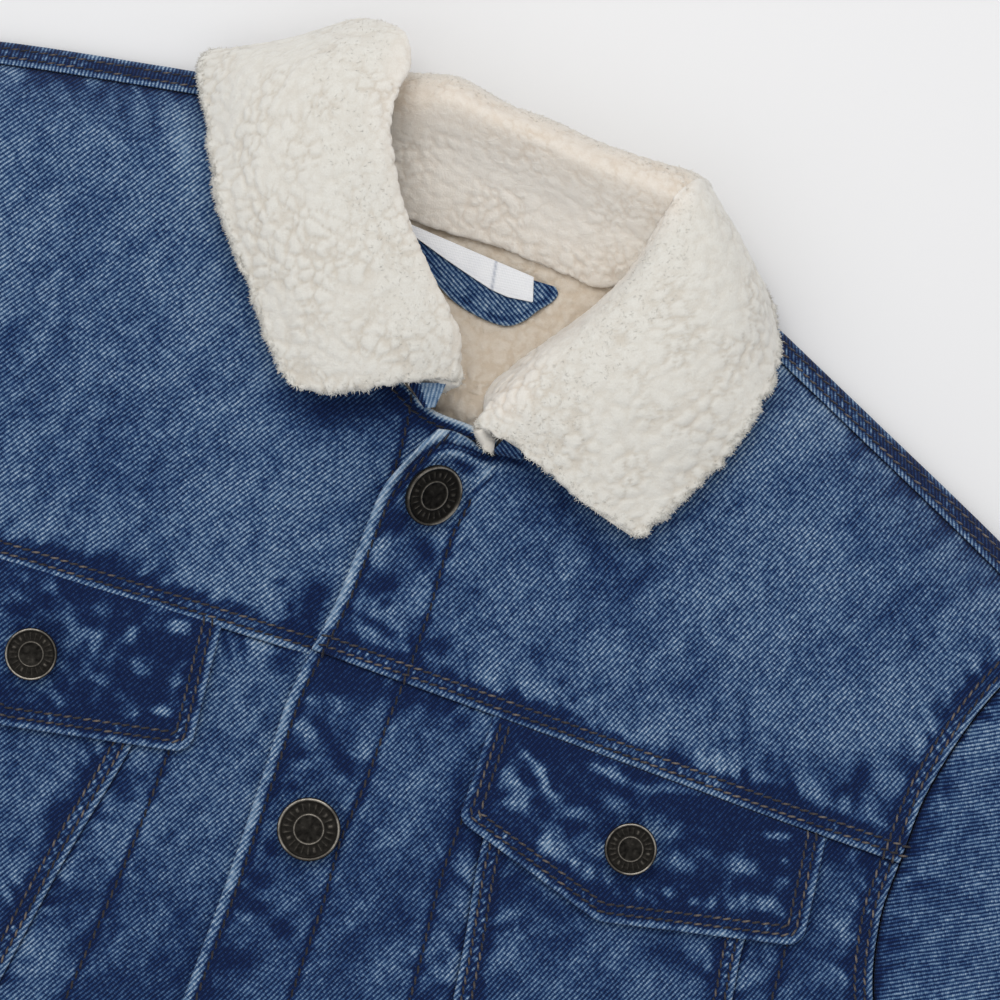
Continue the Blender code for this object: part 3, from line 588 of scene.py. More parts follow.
def triangles(points, count):  # the inside of the ring that the first points make
    edges = [(i, (i + 1) % count) for i in range(count)]
    flat, _, faces, *_ = geometry.delaunay_2d_cdt([Vector(p) for p in points.tolist()], edges, [], 1, 1e-6)
    return np.array([tuple(p) for p in flat]), faces


def lattice(ring, step, clear, keep):  # points of a triangular lattice inside the ring, clear of it
    rough = resampled(ring, max(2.0, 0.8 * step))
    low, high = ring.min(axis=0), ring.max(axis=0)
    ys = np.arange(low[1], high[1], step * 0.866)
    x, y = np.meshgrid(np.arange(low[0], high[0] + step, step), ys)
    x = x + (np.arange(len(ys)) % 2)[:, None] * step / 2
    x, y = x.ravel(), y.ravel()
    kept = keep(x, y)
    x, y = x[kept], y[kept]
    kept = insideRing(x, y, rough)
    x, y = x[kept], y[kept]
    if len(x):
        kept = fromEdge(x, y, ring) > clear
        x, y = x[kept], y[kept]
    return np.column_stack([x, y])


def clothFrame(x, y, grain):  # along and across the lines of the twill
    return np.column_stack([*onAxes(x, y, math.radians(grain)), np.zeros(len(x))])


def cutCloth(name, ring, surface, wall, look, grain=64.0, zone=inView, fine=None, coarse=None, gap=0.15,
             key="tone"):
    # a cut piece with a rounded edge; surface gives the height and the tone anywhere on its face
    fine, coarse = fine or net["fine"], coarse or net["coarse"]
    
    def wallAt(x, y):
        return wall(x, y) if callable(wall) else np.full(np.shape(x), float(wall))

    def outOfZone(x, y):
        return ~zone(x, y, 10 + 0.4 * coarse)
    ring = moved(resampled(ring, 0.3), gap)
    near = zone(ring[:, 0], ring[:, 1])
    run = np.concatenate([[0], np.cumsum(np.hypot(*np.diff(ring, axis=0).T))])
    kept = [0]
    for i in range(1, len(ring)):
        step = net["rim"] if near[i] else 0.55 * coarse
        if run[i] - run[kept[-1]] >= step:
            kept.append(i)
    ring = ring[kept]
    count = len(ring)
    bend = min(float(wallAt(ring[:1, 0], ring[:1, 1])[0]) * net["bend"], net["mostBend"])
    rows, depths = [ring], [np.zeros(count)]
    for depth in (0.25 * bend, 0.55 * bend, bend, 1.7 * bend):
        band = moved(ring, depth)
        band = band[fromEdge(band[:, 0], band[:, 1], ring) > 0.8 * depth]
        rows.append(band)
        depths.append(np.full(len(band), depth))
    rows.append(lattice(ring, fine, 1.7 * bend + 0.4 * fine, zone))
    rows.append(lattice(ring, coarse, 1.7 * bend + 0.35 * coarse, outOfZone))
    depths += [np.full(len(r), 9.0) for r in rows[-2:]]
    top, topFaces = triangles(np.vstack(rows), count)
    edge = np.concatenate(depths)
    if len(edge) != len(top):
        edge = fromEdge(top[:, 0], top[:, 1], ring)
    low, lowFaces = triangles(np.vstack([ring, lattice(ring, net["under"], 3.0, everywhere)]), count)
    height, tone = surface(top[:, 0], top[:, 1])
    roll = 1 - np.minimum(edge / bend, 1)
    height = height - bend * (1 - np.sqrt(np.maximum(1 - roll ** 2, 0)))
    lowHeight = surface(low[:, 0], low[:, 1])[0] - wallAt(low[:, 0], low[:, 1])
    lowHeight[:count] = height[:count] - (wallAt(ring[:, 0], ring[:, 1]) - 2 * bend).clip(0.05)
    points = np.vstack([np.column_stack([top, height]), np.column_stack([low, np.maximum(lowHeight, 0.0)])])
    shift = len(top)
    faces = [tuple(f) for f in topFaces] + [tuple(shift + k for k in reversed(f)) for f in lowFaces]
    faces += [(shift + i, shift + (i + 1) % count, (i + 1) % count, i) for i in range(count)]
    tones = np.concatenate([tone, np.full(len(low), net["underTone"])])
    return newPiece(name, points, faces, look, {key: tones},
                    {"cloth": clothFrame(points[:, 0], points[:, 1], grain)})


stitchLook = {
    "pitch": 2.6, "length": 2.75, "radius": 0.25, "slant": 13.0, "sink": 0.05, "tip": 0.04, "seat": 0.75,
    "dive": 0.42,  # how far the ends go down into the cloth
    "wobble": 0.06, "shadow": 0.55,
}

# How each kind of seam shows on a piece: rows of stitches and the doubled cloth's width from the edge,
# how much it stands up, its pale rubbed edge and how wide that is, the tone between, the dark left beside it
# and how far that goes, and the puckers that run out of it
seamLooks = {
    "felled": {"rows": (2.3, 4.9), "thread": (0.25, 0.85), "wide": 6.1, "lift": 0.85, "pale": 0.15,
               "rope": 0.9, "band": -0.17, "dark": 0.19, "edge": 0.9, "pucker": 0.24, "reach": 5.5},
    "placket": {"rows": (3.4,), "thread": (0.0, 0.35), "wide": 4.2, "lift": 0.3, "pale": 0.34,
                "rope": 1.6, "band": -0.26, "dark": 0.20, "edge": 0.5, "pucker": 0.16, "reach": 5.0,
                "pitch": 2.95},
    "turned": {"rows": (2.6, 4.9), "thread": (0.25, 0.8), "wide": 6.0, "lift": 0.2, "pale": 0.26,
               "rope": 1.1, "band": -0.15, "dark": 0.14, "edge": 0.8, "pucker": 0.16, "reach": 4.0},
    "neckEdge": {"rows": (3.4,), "thread": (0.0, 0.35), "wide": 4.4, "lift": 0.1, "pale": 0.8,
                 "rope": 0.85, "band": -0.2, "dark": 0.2, "edge": 0.8, "pucker": 0.12, "reach": 3.0},
    # The piece under a seam: its dark strip by the edge is painted shadow of the upper piece's edge, with
    # unworn dye
    "under": {"rows": (), "wide": 0.0, "lift": -0.9, "pale": 0.0, "rope": 1.0, "band": 0.0, "dark": 0.20,
              "edge": 0.7, "pucker": 0.24, "reach": 6.5},
    "row": {"rows": (0.0,), "thread": (0.0, 0.5), "wide": 0.0, "lift": 0.0, "pale": 0.0, "rope": 1.0,
            "band": 0.0, "dark": 0.18, "edge": 0.3, "pucker": 0.10, "reach": 3.5, "pitch": 2.95},
    "raw": {"rows": (), "wide": 0.8, "lift": 0.0, "pale": 0.3, "rope": 0.5, "band": 0.0, "dark": 0.1,
            "edge": 0.4, "pucker": 0.08, "reach": 3.0},
}


def seamProfile(d, a, look, seed):
    slant = a + 0.55 * d
    fingers = noise(seed, slant / 2.6, d / 9) + 0.6 * noise(seed + 1, slant / 6.5, d / 14)
    wide, reach, rope = look["wide"], look["reach"], look["rope"]
    past = np.maximum(d - wide, 0)
    outside = smooth((d - wide + 1.2) / 1.4)
    fade = np.exp(-past / reach)
    rise = 0.26 * fingers * fade * smooth(d / 2.5)
    if wide:
        rise = rise + look["lift"] * (1 - smooth((d - wide + 1.2) / 2.4))
    else:
        rise = rise + look["lift"] * (1 - smooth(d / 2.5))
    tone = look["pucker"] * fingers * fade * outside
    uneven = 1 + 0.3 * noise(seed + 2, a / 1.2) + 0.3 * noise(seed + 9, a / 8)
    tone += look["pale"] * bell((d - 0.6 * rope) / rope) * uneven
    ragged = look["edge"] * (1 + 0.9 * noise(seed + 6, slant / 1.7) + 0.7 * noise(seed + 7, slant / 5.0))
    # Darker beside the seam; on a piece that runs under a seam this is painted shadow of the upper edge, with
    # unworn dye
    tone -= look["dark"] * smooth((ragged + 1.2 - past) / 1.7) * outside
    patch = smooth((noise(seed + 3, a / 9, d / 8) + 0.5 * noise(seed + 4, slant / 4, d / 5) - 0.02) / 0.5)
    tone -= 0.75 * look["dark"] * patch * bell(past / (0.85 * reach)) * outside
    if wide:
        tone += look["band"] * smooth((d - 1.6 * rope) / 0.8) * (1 - outside)
    for row in look["rows"]:
        rise = rise - 0.26 * bell((d - row) / 0.55)
        tone -= 0.14 * bell((d - row) / 0.7)
    if len(look["rows"]) > 1:
        middle = bell((d - sum(look["rows"]) / 2) / 0.85)
        beads = (0.5 + 0.5 * np.sin(2 * math.pi * (a + 0.4 * d) / stitchLook["pitch"])) ** 2
        beads = beads * smooth((noise(seed + 8, a / 11) + 0.5) / 0.8) * (1 + 0.4 * noise(seed + 5, a / 1.6))
        tone += 0.46 * beads * middle
        rise = rise + 0.15 * (1 + beads) * middle
    return rise, tone


def workSeams(x, y, seams):
    rise, tone = np.zeros(len(x)), np.zeros(len(x))
    for seed, (line, kind) in enumerate(seams):
        d, a = alongLine(x, y, evenly(line, 4.0))
        near = d < 42
        r, t = seamProfile(d[near], a[near], seamLooks[kind], 40 + 10 * seed + int(abs(line[0][0])) * 7)
        rise[near] += r
        tone[near] += t
    return rise, tone


def crease(x, y, table):  # soft ridges and troughs: points of the line, half width, height, tone
    rise, tone = np.zeros(len(x)), np.zeros(len(x))
    for points, wide, height, light in table:
        line = through(points, 3.0)
        low, high = line.min(axis=0) - 3 * wide, line.max(axis=0) + 3 * wide
        near = (x > low[0]) & (x < high[0]) & (y > low[1]) & (y < high[1])
        if not near.any():
            continue
        d, a = alongLine(x[near], y[near], line)
        length = np.hypot(*np.diff(line, axis=0).T).sum()
        ridge = bell(d / wide) * np.sin(math.pi * (a / length).clip(0.02, 0.98)) ** 0.7
        rise[near] += height * ridge
        tone[near] += light * ridge
    return rise, tone


wash = {"base": 0.415, "below": -0.06}  # below the yoke seam the denim is less worn


def washTone(x, y):
    tone = wash["base"] + 0.05 * noise(901, x / 31, y / 31) + 0.05 * noise(902, x / 11, y / 11)
    tone = tone + 0.05 * noise(903, (0.42 * x + 0.9 * y) / 9, (0.42 * y - 0.9 * x) / 3.5)
    tone = tone + 0.035 * noise(904, x / 2.4, y / 2.4)
    return tone + wash["below"] * smooth((np.where(x < 0, 0.062 * x - 2.6, -2.0) - y) / 4)


stitchRows = {}


def addStitches(group, line, surface, ring=None, pitch=None, slant=None, shades=(0.2, 0.8)):
    places = evenly(line, pitch or stitchLook["pitch"])
    heading = np.gradient(places, axis=0)
    heading /= np.maximum(np.hypot(*heading.T), 1e-9)[:, None]
    if ring is not None:
        kept = insideRing(places[:, 0], places[:, 1], ring)
        places, heading = places[kept], heading[kept]
    if len(places):
        stitchRows.setdefault(group, []).append((places, heading, surface, slant, shades))


def makeStitches():
    for group, rows in stitchRows.items():
        allPoints, allFaces, allTones, shift = [], [], [], 0
        for seed, (places, heading, surface, slant, shades) in enumerate(rows):
            count = len(places)
            turn = math.radians(stitchLook["slant"] if slant is None else slant)
            turn = turn + stitchLook["wobble"] * (hashed(seed + 5, np.arange(count)) - 0.5)
            c, s = np.cos(turn), np.sin(turn)
            heading = np.column_stack([heading[:, 0] * c - heading[:, 1] * s,
                                       heading[:, 0] * s + heading[:, 1] * c])
            half = stitchLook["length"] / 2
            ends = [surface(*(places + k * half * heading).T)[0] for k in (-1, 0, 1)]
            middle = np.column_stack([places, np.maximum(ends[1], (ends[0] + ends[2]) / 2)])
            forward = np.column_stack([heading, (ends[2] - ends[0]) / (2 * half)])
            across = np.column_stack([-heading[:, 1], heading[:, 0], np.zeros(count)])
            seen = bool(inView(*places.T).any())
            sections = (-0.93, -0.6, 0.0, 0.6, 0.93) if seen else (-0.9, 0.0, 0.9)
            sideCount = 5 if seen else 4
            points = []
            for k in sections:
                radius = stitchLook["radius"] * (1 - k ** 4) ** 0.5 + stitchLook["tip"]
                lift = stitchLook["radius"] * stitchLook["seat"] - stitchLook["sink"]
                lift = lift - stitchLook["dive"] * k ** 4
                for j in range(sideCount):
                    angle = 2 * math.pi * j / sideCount
                    points.append(middle + forward * (k * half) + across * (radius * math.cos(angle))
                                  + np.array([0, 0, radius * math.sin(angle) + lift]))
            points = np.stack(points, axis=1)
            size = points.shape[1]
            faces = [tuple(range(sideCount))[::-1], tuple(range(size - sideCount, size))]
            for i in range(len(sections) - 1):
                for j in range(sideCount):
                    a, b = i * sideCount + j, i * sideCount + (j + 1) % sideCount
                    faces.append((a, b, b + sideCount, a + sideCount))
            for i in range(count):
                allFaces += [tuple(shift + i * size + k for k in face) for face in faces]
            allPoints.append(points.reshape(-1, 3))
            shade = shades[0] + np.ptp(shades) * hashed(seed + 77, np.arange(count))
            darker = np.repeat([stitchLook["shadow"] * k ** 2 for k in sections], sideCount)
            allTones.append((shade[:, None] - darker[None, :]).ravel())
            shift += count * size
        piece = newPiece("stitches_" + group, np.vstack(allPoints), allFaces, looks["thread"],
                         {"tone": np.concatenate(allTones)}, smoothAngle=80)


def surfaceOf(height, seams, creases=(), calm=None, light=0.0):
    def surface(x, y):
        rise, tone = workSeams(x, y, seams)
        folds, shades = crease(x, y, creases)
        rise = rise + folds
        if calm:
            rise = rise * calm(x)
        return height(x, y) + rise, washTone(x, y) + tone + shades + light
    return surface


def flatSurface(level, light=0.0):
    def surface(x, y):
        return np.full(len(x), level), washTone(x, y) + light
    return surface


def sew(name, group, ring, surface, seams, wall=None, grain=64.0, restsOn=("lining_back",), **more):
    # one denim piece with its rows of stitches
    piece = cutCloth("cloth_" + name, ring, surface, wall or form["denim"], looks["denim"], grain, **more)
    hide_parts(name)
    declareCut(ring)
    rough = resampled(ring, 2.0)
    for line, kind in seams:
        for row in seamLooks[kind]["rows"]:
            middle = beside(line, 1.5)[len(line) // 2]
            hand = 1 if insideRing(middle[:1], middle[1:], rough)[0] or not row else -1
            addStitches(group, beside(line, hand * row), surface, rough, seamLooks[kind].get("pitch"),
                        shades=seamLooks[kind]["thread"])
    return piece


overlap = 0.7  # how far the upper piece of a seam reaches over the lower one
frontGrain = {"left": {"yoke": 67, "centre": 65, "panel": 67, "side": 69, "band": 64, "sleeve": 30},
              "right": {"yoke": 58, "centre": 61, "panel": 60, "side": 58, "band": 64, "sleeve": 100}}
# Marks of folding, rubbing and dye, with painted shade and light: a line, its half width, how far it stands
# up, and how light it is. Grooves are drawn darker and ridges lighter, partly as painted shade and highlight;
# some strokes are painted shadow below the collar and the flaps, and one is painted light beside the collar's
# edge
frontFoldsAndShade = {
    "left": [
        ([(61, 125.6), (104, 107.2), (141, 91.2)], 2, 0, 0.3), ([(77, 113), (87, 101)], 4.5, 0, 0.2),
        ([(-14, -7), (10, -7), (40, -7)], 3, 0, -0.12), ([(118, -7), (148, -7)], 3, 0, -0.14),
        ([(-10.4, 16), (-8.5, -2), (-7.9, -12), (-6, -32)], 2.4, 0, -0.13),
        ([(-16, 5), (-16.5, -8), (-17, -22)], 2.5, 0, -0.2), ([(2, 6), (12, 8), (22, 9)], 4, 0, -0.15),
        ([(-9, -11), (5, -11)], 4, 0, -0.17), ([(38, 21), (43, 10)], 4, 0, -0.13),
        ([(29, -0.5), (47, -1)], 3, 0, -0.2), ([(98, -1), (118, 0.5), (142, 0)], 3.5, 0, -0.2),
        ([(97, -49), (113, -46)], 3, 0, -0.13), ([(50, 29), (60, 20), (70, 14)], 7, 0, 0.08),
        # Painted shadow below the collar leaf's lower edge
        ([(14, 60), (34, 53.5), (57, 47.5)], 4.5, 0, -0.13),
        ([(10, 60.7), (15, 61.2), (20, 61.5)], 0.6, -0.7, -0.4), ([(16, 65), (18, 68)], 4, 0, -0.16),
        ([(-3, 50), (-4, 0), (-4, -50), (-3, -104)], 9, 0, -0.07),
        ([(10.7, 60.1), (3.7, 60), (-1.6, 58.9), (-6.3, 53.9), (-9.1, 48.6), (-10.2, 41.6),
          (-11.1, 36.5)], 0.9, -0.7, -0.3),
        ([(-6.2, 53.5), (-8.7, 47.8), (-9.8, 41.8)], 1.5, 0, -0.14),
        ([(-6.4, 58.6), (-2.8, 61.6), (1.5, 61.6), (6, 61)], 1.3, 0.8, 0.36),
        ([(-2.1, 58.6), (2.5, 60.1), (6.6, 59.6), (12, 60)], 0.75, -0.9, -0.6),
        ([(-6.8, 52.5), (-3.9, 56.2), (-0.5, 57.8), (3.1, 58.2), (7.8, 57.8), (13, 58)], 1.0, 0.8, 0.42),
        ([(-8.2, 49.4), (-7.2, 53.6), (-4.6, 57), (-1.5, 59)], 0.8, -0.6, -0.45),
        ([(1, 56.2), (5.3, 55.6), (9.5, 56)], 1.0, -0.5, -0.4),
        ([(5.5, 52), (9, 55), (12.3, 57)], 1.0, 0.5, 0.22),
        ([(13.4, 60), (11.4, 56.6), (9.9, 53), (8.2, 49.4)], 0.9, 0.3, 0.2),
        ([(6, 52), (8, 45), (6, 38)], 3.2, -1.3, 0), ([(-6, 59), (2, 60.5), (12, 58)], 3.4, 0, 0.1),
        ([(31, 6.5), (53, 6.2), (77, 4.2)], 3.2, 0, 0.14),
        ([(104, 12), (120, 13), (138, 16)], 5.5, 0, -0.17),
        ([(132, -8), (132, -26), (135, -42)], 4.5, 0, -0.16),
        # The first stroke is painted shadow below the flap's lower edge
        ([(50, -38), (62, -45), (76, -49)], 3, 0, -0.1), ([(13, 10), (19, 8)], 3.5, 0, -0.18),
        ([(-8, 34), (-8, 21)], 2.8, 0, 0.17), ([(9, 43), (9.5, 31)], 2.8, 0, 0.14),
        # The first stroke is painted shadow below the collar leaf's tip
        ([(38, 47), (54, 43), (64, 49)], 5, 0, -0.12), ([(80, 101), (91, 86)], 5, 0, 0.13),
        ([(-3.3, 62.1), (-8.4, 54.5), (-11.7, 45.7), (-12.6, 37.9)], 0.9, 0.5, 0.16),
        ([(-0.2, 57.6), (-4.2, 53.3), (-7.3, 46.5), (-8.5, 42.2)], 0.8, 0.3, 0.14),
        ([(1.5, 56.8), (4.8, 58.1), (9, 58.2)], 0.6, -0.3, -0.25),
        ([(-0.1, 54.8), (5.3, 55.6), (10.7, 56.2), (13.9, 59.1)], 0.6, 0.25, 0.15),
        ([(4.1, 53.8), (7.8, 54), (11.7, 55)], 0.5, -0.2, -0.2),
        ([(6.2, 50.6), (9.7, 53.8), (13.3, 57), (14.8, 60.4)], 0.6, 0.2, 0.13),
        ([(14.7, 61.3), (12.8, 55.6), (10, 50.6), (8.6, 46.7), (8.8, 44.4)], 0.55, -0.4, -0.28),
        ([(12, 50.4), (9.7, 46.2)], 0.9, 0, 0.08),
        ([(-8.3, 36.6), (-5.8, 34.8), (-4.5, 39)], 1.2, 0, -0.25),
        ([(0.4, 33.3), (4.3, 30.5), (5.6, 28.2)], 2, -0.1, -0.3),
        ([(7.8, 33.7), (9.9, 31.2)], 1.2, 0, -0.28),
        ([(4.1, 37.5), (7, 35.8), (6.6, 33.3)], 1.2, 0, 0.16),
        ([(-8.5, 14.4), (-5.2, 18.1), (-0.5, 20.7)], 1.8, -0.15, -0.3),
        ([(-3.5, 13.5), (-0.5, 15.6)], 1.3, 0, -0.25),
        ([(-10.4, 9.5), (-4.4, 8.4), (0.7, 7.5), (4.7, 6.7)], 1.5, -0.2, -0.3),
        ([(-12.4, 33.7), (-10.9, 27.2), (-11.5, 19.9)], 1.6, 0.1, 0.12),
        ([(-10.9, 12.1), (-7.6, 9.6), (-1.6, 10.9)], 0.9, 0.1, 0.13),
        ([(2.7, 12.1), (4.9, 19), (5.8, 24), (7.5, 27)], 2.2, 0, 0.08),
        ([(-10.7, 5.2), (-3.2, 5.1), (1.4, 5.4)], 1, 0.1, 0.1),
        ([(18, 26.7), (19.6, 24.9)], 1.3, 0, -0.14), ([(30.2, 24.2), (31.5, 23.3)], 1.5, 0, -0.1),
        ([(52.2, 8.9), (54, 7.2), (54.4, 5.7)], 1.1, -0.1, -0.22),
        ([(47.6, 12.8), (49.3, 11.4), (51.7, 12.3)], 1.3, 0, -0.16),
        ([(57.7, 3.8), (60, 6.2), (59.9, 3)], 1.6, -0.1, -0.2), ([(63.8, 5.7), (64.8, 7.2)], 1, 0, -0.12),
        ([(62.9, 5.8), (69.2, 4.9), (75.2, 4.8)], 2.5, 0, 0.08),
        ([(71.7, 9), (79.2, 10.2), (87.5, 9.4), (97.1, 5)], 5, 0, 0.05),
        ([(94.4, 30.3), (97.4, 21.1), (99.7, 13.9), (102, 6.8)], 1, -0.2, -0.1),
        ([(103.6, 6.2), (103.6, 3.4)], 1.2, -0.15, -0.25),
        ([(103.4, 7.3), (103.3, 4.3)], 0.9, -0.1, -0.2), ([(115.8, 5.3), (116, 2.4)], 1.2, -0.1, -0.2),
        ([(128.3, 12), (130.8, 9.6)], 1.3, 0, -0.18),
        ([(131, 22.6), (132.5, 15.3), (133.7, 8.6), (136.7, 3.9)], 1.8, -0.3, -0.25),
        ([(114.6, 10.7), (119.7, 8.4), (126.8, 6), (133.3, 4.3)], 2.2, 0.2, 0.12),
        ([(91.3, 6.1), (97.8, 5.6), (102.4, 4.4)], 2.5, 0, 0.12),
        ([(133.5, 6.9), (138.2, 7.8)], 1.2, 0, 0.1),
        ([(135.1, -6.2), (137.9, -6.9), (142.8, -6.7)], 1.3, 0.15, 0.15),
        ([(142.5, -8.1), (144.3, -8.6)], 1.4, 0, -0.15),
        ([(138.9, -23.2), (143.9, -23), (147.1, -27.2)], 3, 0, 0.1),
        ([(145.2, -17.5), (147.9, -22.7), (151.1, -27.8), (153, -31.7)], 0.8, -0.3, -0.08),
        ([(144.4, -19.9), (146.8, -26.4), (149.3, -33)], 0.8, 0.2, 0.08),
        ([(-0.3, -28.1), (2.7, -29.5), (5.7, -30.9)], 2.2, -0.2, -0.3),
        ([(4.7, -27.1), (6, -24.9), (7.9, -25.5)], 1.8, 0.1, 0.18),
        ([(4.6, -34.6), (2.3, -33)], 1.6, 0.1, 0.14),
        ([(7.9, -33.4), (7.6, -39.3), (6.6, -42.2)], 1.4, 0.1, 0.14),
        ([(11.1, -34.3), (10.7, -38.6), (10.5, -44.9), (11.4, -52.9)], 1.6, 0, 0.08),
        ([(33.7, -16.7), (33.5, -23.8), (34.2, -29), (35.3, -33.2)], 2, 0, -0.1),
        ([(20.1, -18), (21.1, -18.5)], 1.5, 0, -0.08),
        ([(-9.9, -55.7), (-7.4, -58), (-5, -57.6)], 1.5, -0.1, -0.28),
        ([(-14.1, -53.5), (-13.1, -50.6), (-11.3, -47.4)], 1.3, 0.1, 0.14),
        ([(-13.4, -60.7), (-12.4, -57.8)], 1.1, 0.1, 0.14),
        ([(-11.1, -64.8), (-8.8, -66.5), (-5.8, -66.6), (-2.6, -66.3)], 1.6, -0.1, -0.22),
        ([(-12.8, -70.1), (-10.7, -68)], 1, 0.1, 0.12),
        ([(-11.3, -72), (-6.7, -73.2), (-3.2, -73.6)], 1.4, -0.15, -0.26),
        ([(-12.1, -74.4), (-12, -76.8), (-8.5, -77.2), (-4.9, -78)], 1.8, 0.1, 0.12),
        ([(-1.2, -74.5), (2.9, -76.7), (6.8, -78.1)], 2.2, -0.2, -0.25),
        ([(-11.3, -86.6), (-8.2, -89.2), (-4.4, -88.2), (-1.9, -86)], 2, -0.2, -0.28),
        ([(-12.8, -92.6), (-10.1, -95.3), (-9.3, -92.9)], 1.5, 0.1, 0.16),
        ([(-11.8, -99.7), (-8.3, -100.1)], 1.6, -0.1, -0.28),
        ([(8.5, -55.9), (9.3, -64.7), (8.6, -72.9)], 2.2, 0, 0.08),
        ([(-13.8, -40.9), (-9.7, -38.5), (-3, -36.4)], 1.2, 0, 0.12),
        ([(-9.9, -40.2), (-6.8, -39.5)], 1, 0, -0.14),
        ([(-16, -4.6), (-10.9, -5.5), (-6, -6.9)], 2.2, -0.2, -0.28),
        ([(-10.6, -13.8), (-7.5, -14.6), (-2.7, -15.6)], 2, 0.15, 0.16),
        ([(-15.9, -20.9), (-11.6, -20.5), (-7.6, -21.8), (-4.3, -24.2), (2.2, -28.9)], 1.8, -0.15, -0.24),
        ([(-14.8, -26.9), (-11.6, -24.9), (-7.7, -25.8), (-6.4, -28.1)], 1.3, 0.1, 0.14),
        ([(-12.5, -30), (-9, -30.7), (-8.2, -28.8)], 1.6, -0.1, -0.24),
        ([(-13.6, -34.4), (-7.9, -34.7), (-3.2, -31.3), (1.1, -32.1)], 1.8, 0.1, 0.12),
    ],
    "right": [
        ([(-80, 135), (-118, 127.6), (-150, 121)], 2, 0, 0.3),
        ([(-104, 122), (-97, 112), (-90, 100)], 4, 0, 0.1),
        # Lighter beside the collar's outer edge: painted light that takes away the collar's shade there
        ([(-103, 127), (-97, 112), (-87, 96), (-76, 84)], 4, 0, 0.14),
        ([(-22, 17), (-19, 6), (-22, -5)], 4.5, 0, -0.2),
        # The first stroke darkens the neckline beside the collar: painted shadow of the collar
        ([(-12.5, 69), (-16, 71), (-21, 74)], 3, 0, -0.55), ([(-28, 4), (-20, 2)], 4, 0, -0.12),
        # Painted shadow below the collar leaf's lower edge
        ([(-52, 56), (-40, 56), (-28, 60.5), (-14, 66.5)], 4.0, 0, -0.15),
        ([(-56.4, 2.2), (-47.8, 2.6), (-40, 3.1)], 3, 0, 0.12),
        ([(-37.7, 7.6), (-34.4, 7.2), (-32.3, 6), (-34.5, 2.4)], 2.2, 0, 0.18),
        ([(-20.9, 12.7), (-20.3, 8.1), (-20, 6.2)], 2.2, -0.2, -0.26),
        ([(-26.5, 5.4), (-24.1, 3.1)], 1.6, -0.1, -0.22), ([(-23.1, 5.9), (-22.8, 2.8)], 0.9, 0, 0.12),
        ([(-18.1, 8.5), (-16.3, 8)], 0.9, 0, 0.12), ([(-32.2, 10), (-28.6, 9.8)], 1.3, 0, -0.16),
        ([(-22.7, 12), (-18.8, 10.6), (-17.4, 13)], 1.6, -0.1, -0.22),
        ([(-21.1, 6.5), (-19.6, 3.7)], 1.8, -0.1, -0.25), ([(-25.2, 21.4), (-24, 20.4)], 1.4, 0, -0.1),
        ([(-14.6, 63.5), (-11.7, 63.2), (-8.3, 61.6)], 2, -0.3, -0.28),
        ([(-13.3, 66.3), (-10.9, 66.3)], 1, 0.15, 0.12),
        ([(-12.4, 60.1), (-13.1, 57), (-11.8, 56.1)], 1, 0.2, 0.12),
        ([(-14.4, 66), (-13.6, 62), (-13, 58), (-12.4, 52.6)], 0.7, -0.25, -0.2),
        ([(-14.4, 39.1), (-14.5, 30.6), (-14.8, 21.1)], 0.8, 0, 0.08),
        ([(-34.6, -8), (-29.9, -7.8), (-24.2, -7.3), (-20.5, -6.3)], 1.8, 0, 0.14),
        ([(-27.1, -10), (-23, -10.4), (-18.6, -11.6)], 2.2, -0.1, -0.12),
        ([(-32.1, -92.3), (-31.1, -93.6)], 2, 0, -0.08), ([(-27.4, -63.5), (-26.1, -64.6)], 2, 0, -0.07),
        ([(-46.7, -55.3), (-44.7, -56.2)], 2.4, 0, 0.06),
    ],
}
# Folds of the sleeves, in the same columns: troughs are drawn darker and ridges lighter, partly as painted
# shade and highlight
sleeveFolds = {
    "left": [
        ([(196, 34), (206, -8), (214, -50)], 7, -1.4, -0.07),
        ([(216, 22), (229, -14), (236, -52)], 8, 1.5, 0.05),
        ([(262, -18), (282, -60), (290, -100)], 7, 1.7, 0.08),
        ([(300, -66), (290, -108), (266, -138)], 6, -1.5, -0.09),
        ([(318, -92), (306, -130), (286, -158)], 6, 1.4, 0.07),
        ([(352, -138), (348, -176), (328, -206)], 7, -1.2, -0.06),
        ([(372, -160), (366, -198), (350, -226)], 7, 1.3, 0.05),
        ([(424, -222), (404, -252), (384, -268)], 6, 1.2, 0.06),
    ],
    "right": [
        ([(-190, 88), (-200, 40), (-206, -20)], 8, -1.4, -0.07),
        ([(-212, 70), (-222, 22), (-228, -36)], 8, 1.4, 0.05),
        ([(-270, 8), (-286, -40), (-296, -86)], 7, -1.5, -0.08),
        ([(-286, -14), (-302, -58), (-316, -96)], 6, 1.7, 0.08),
        ([(-312, -46), (-318, -88), (-334, -126)], 7, -1.3, -0.07),
        ([(-344, -86), (-346, -124), (-356, -156)], 6, 1.2, 0.05),
        ([(-384, -140), (-386, -176), (-392, -204)], 7, 1.3, 0.06),
        ([(-436, -204), (-420, -236), (-400, -252)], 6, 1.1, 0.05),
    ],
}


def armholeTop(side):  # where the shoulder strip ends on the armhole, and the rest of its upper line
    arm = side["lines"]["armholeUpper"]
    away = np.hypot(*(arm - arm[0]).T)
    slope = (arm[6] - arm[0]) / np.hypot(*(arm[6] - arm[0]))
    return arm[0] + slope * hem["band"], arm[away > hem["band"] + 1.0]


def wholeArmhole(side):
    return np.vstack([side["lines"]["armholeUpper"], side["lines"]["armholeLower"][1:]])


# The single row that holds each front's facing
facingRows = {
    "left": [(9.6, 47), (8.4, 38), (8.6, 29), (9.6, 18), (10.0, 3), (9.6, -15), (9.7, -34), (8.8, -49),
             (10.4, -66), (11, -92), (11, -200), (11, -334)],
    "right": [(-14.8, 67.6), (-13.6, 62), (-12.4, 52.6), (-12, 20)],
}


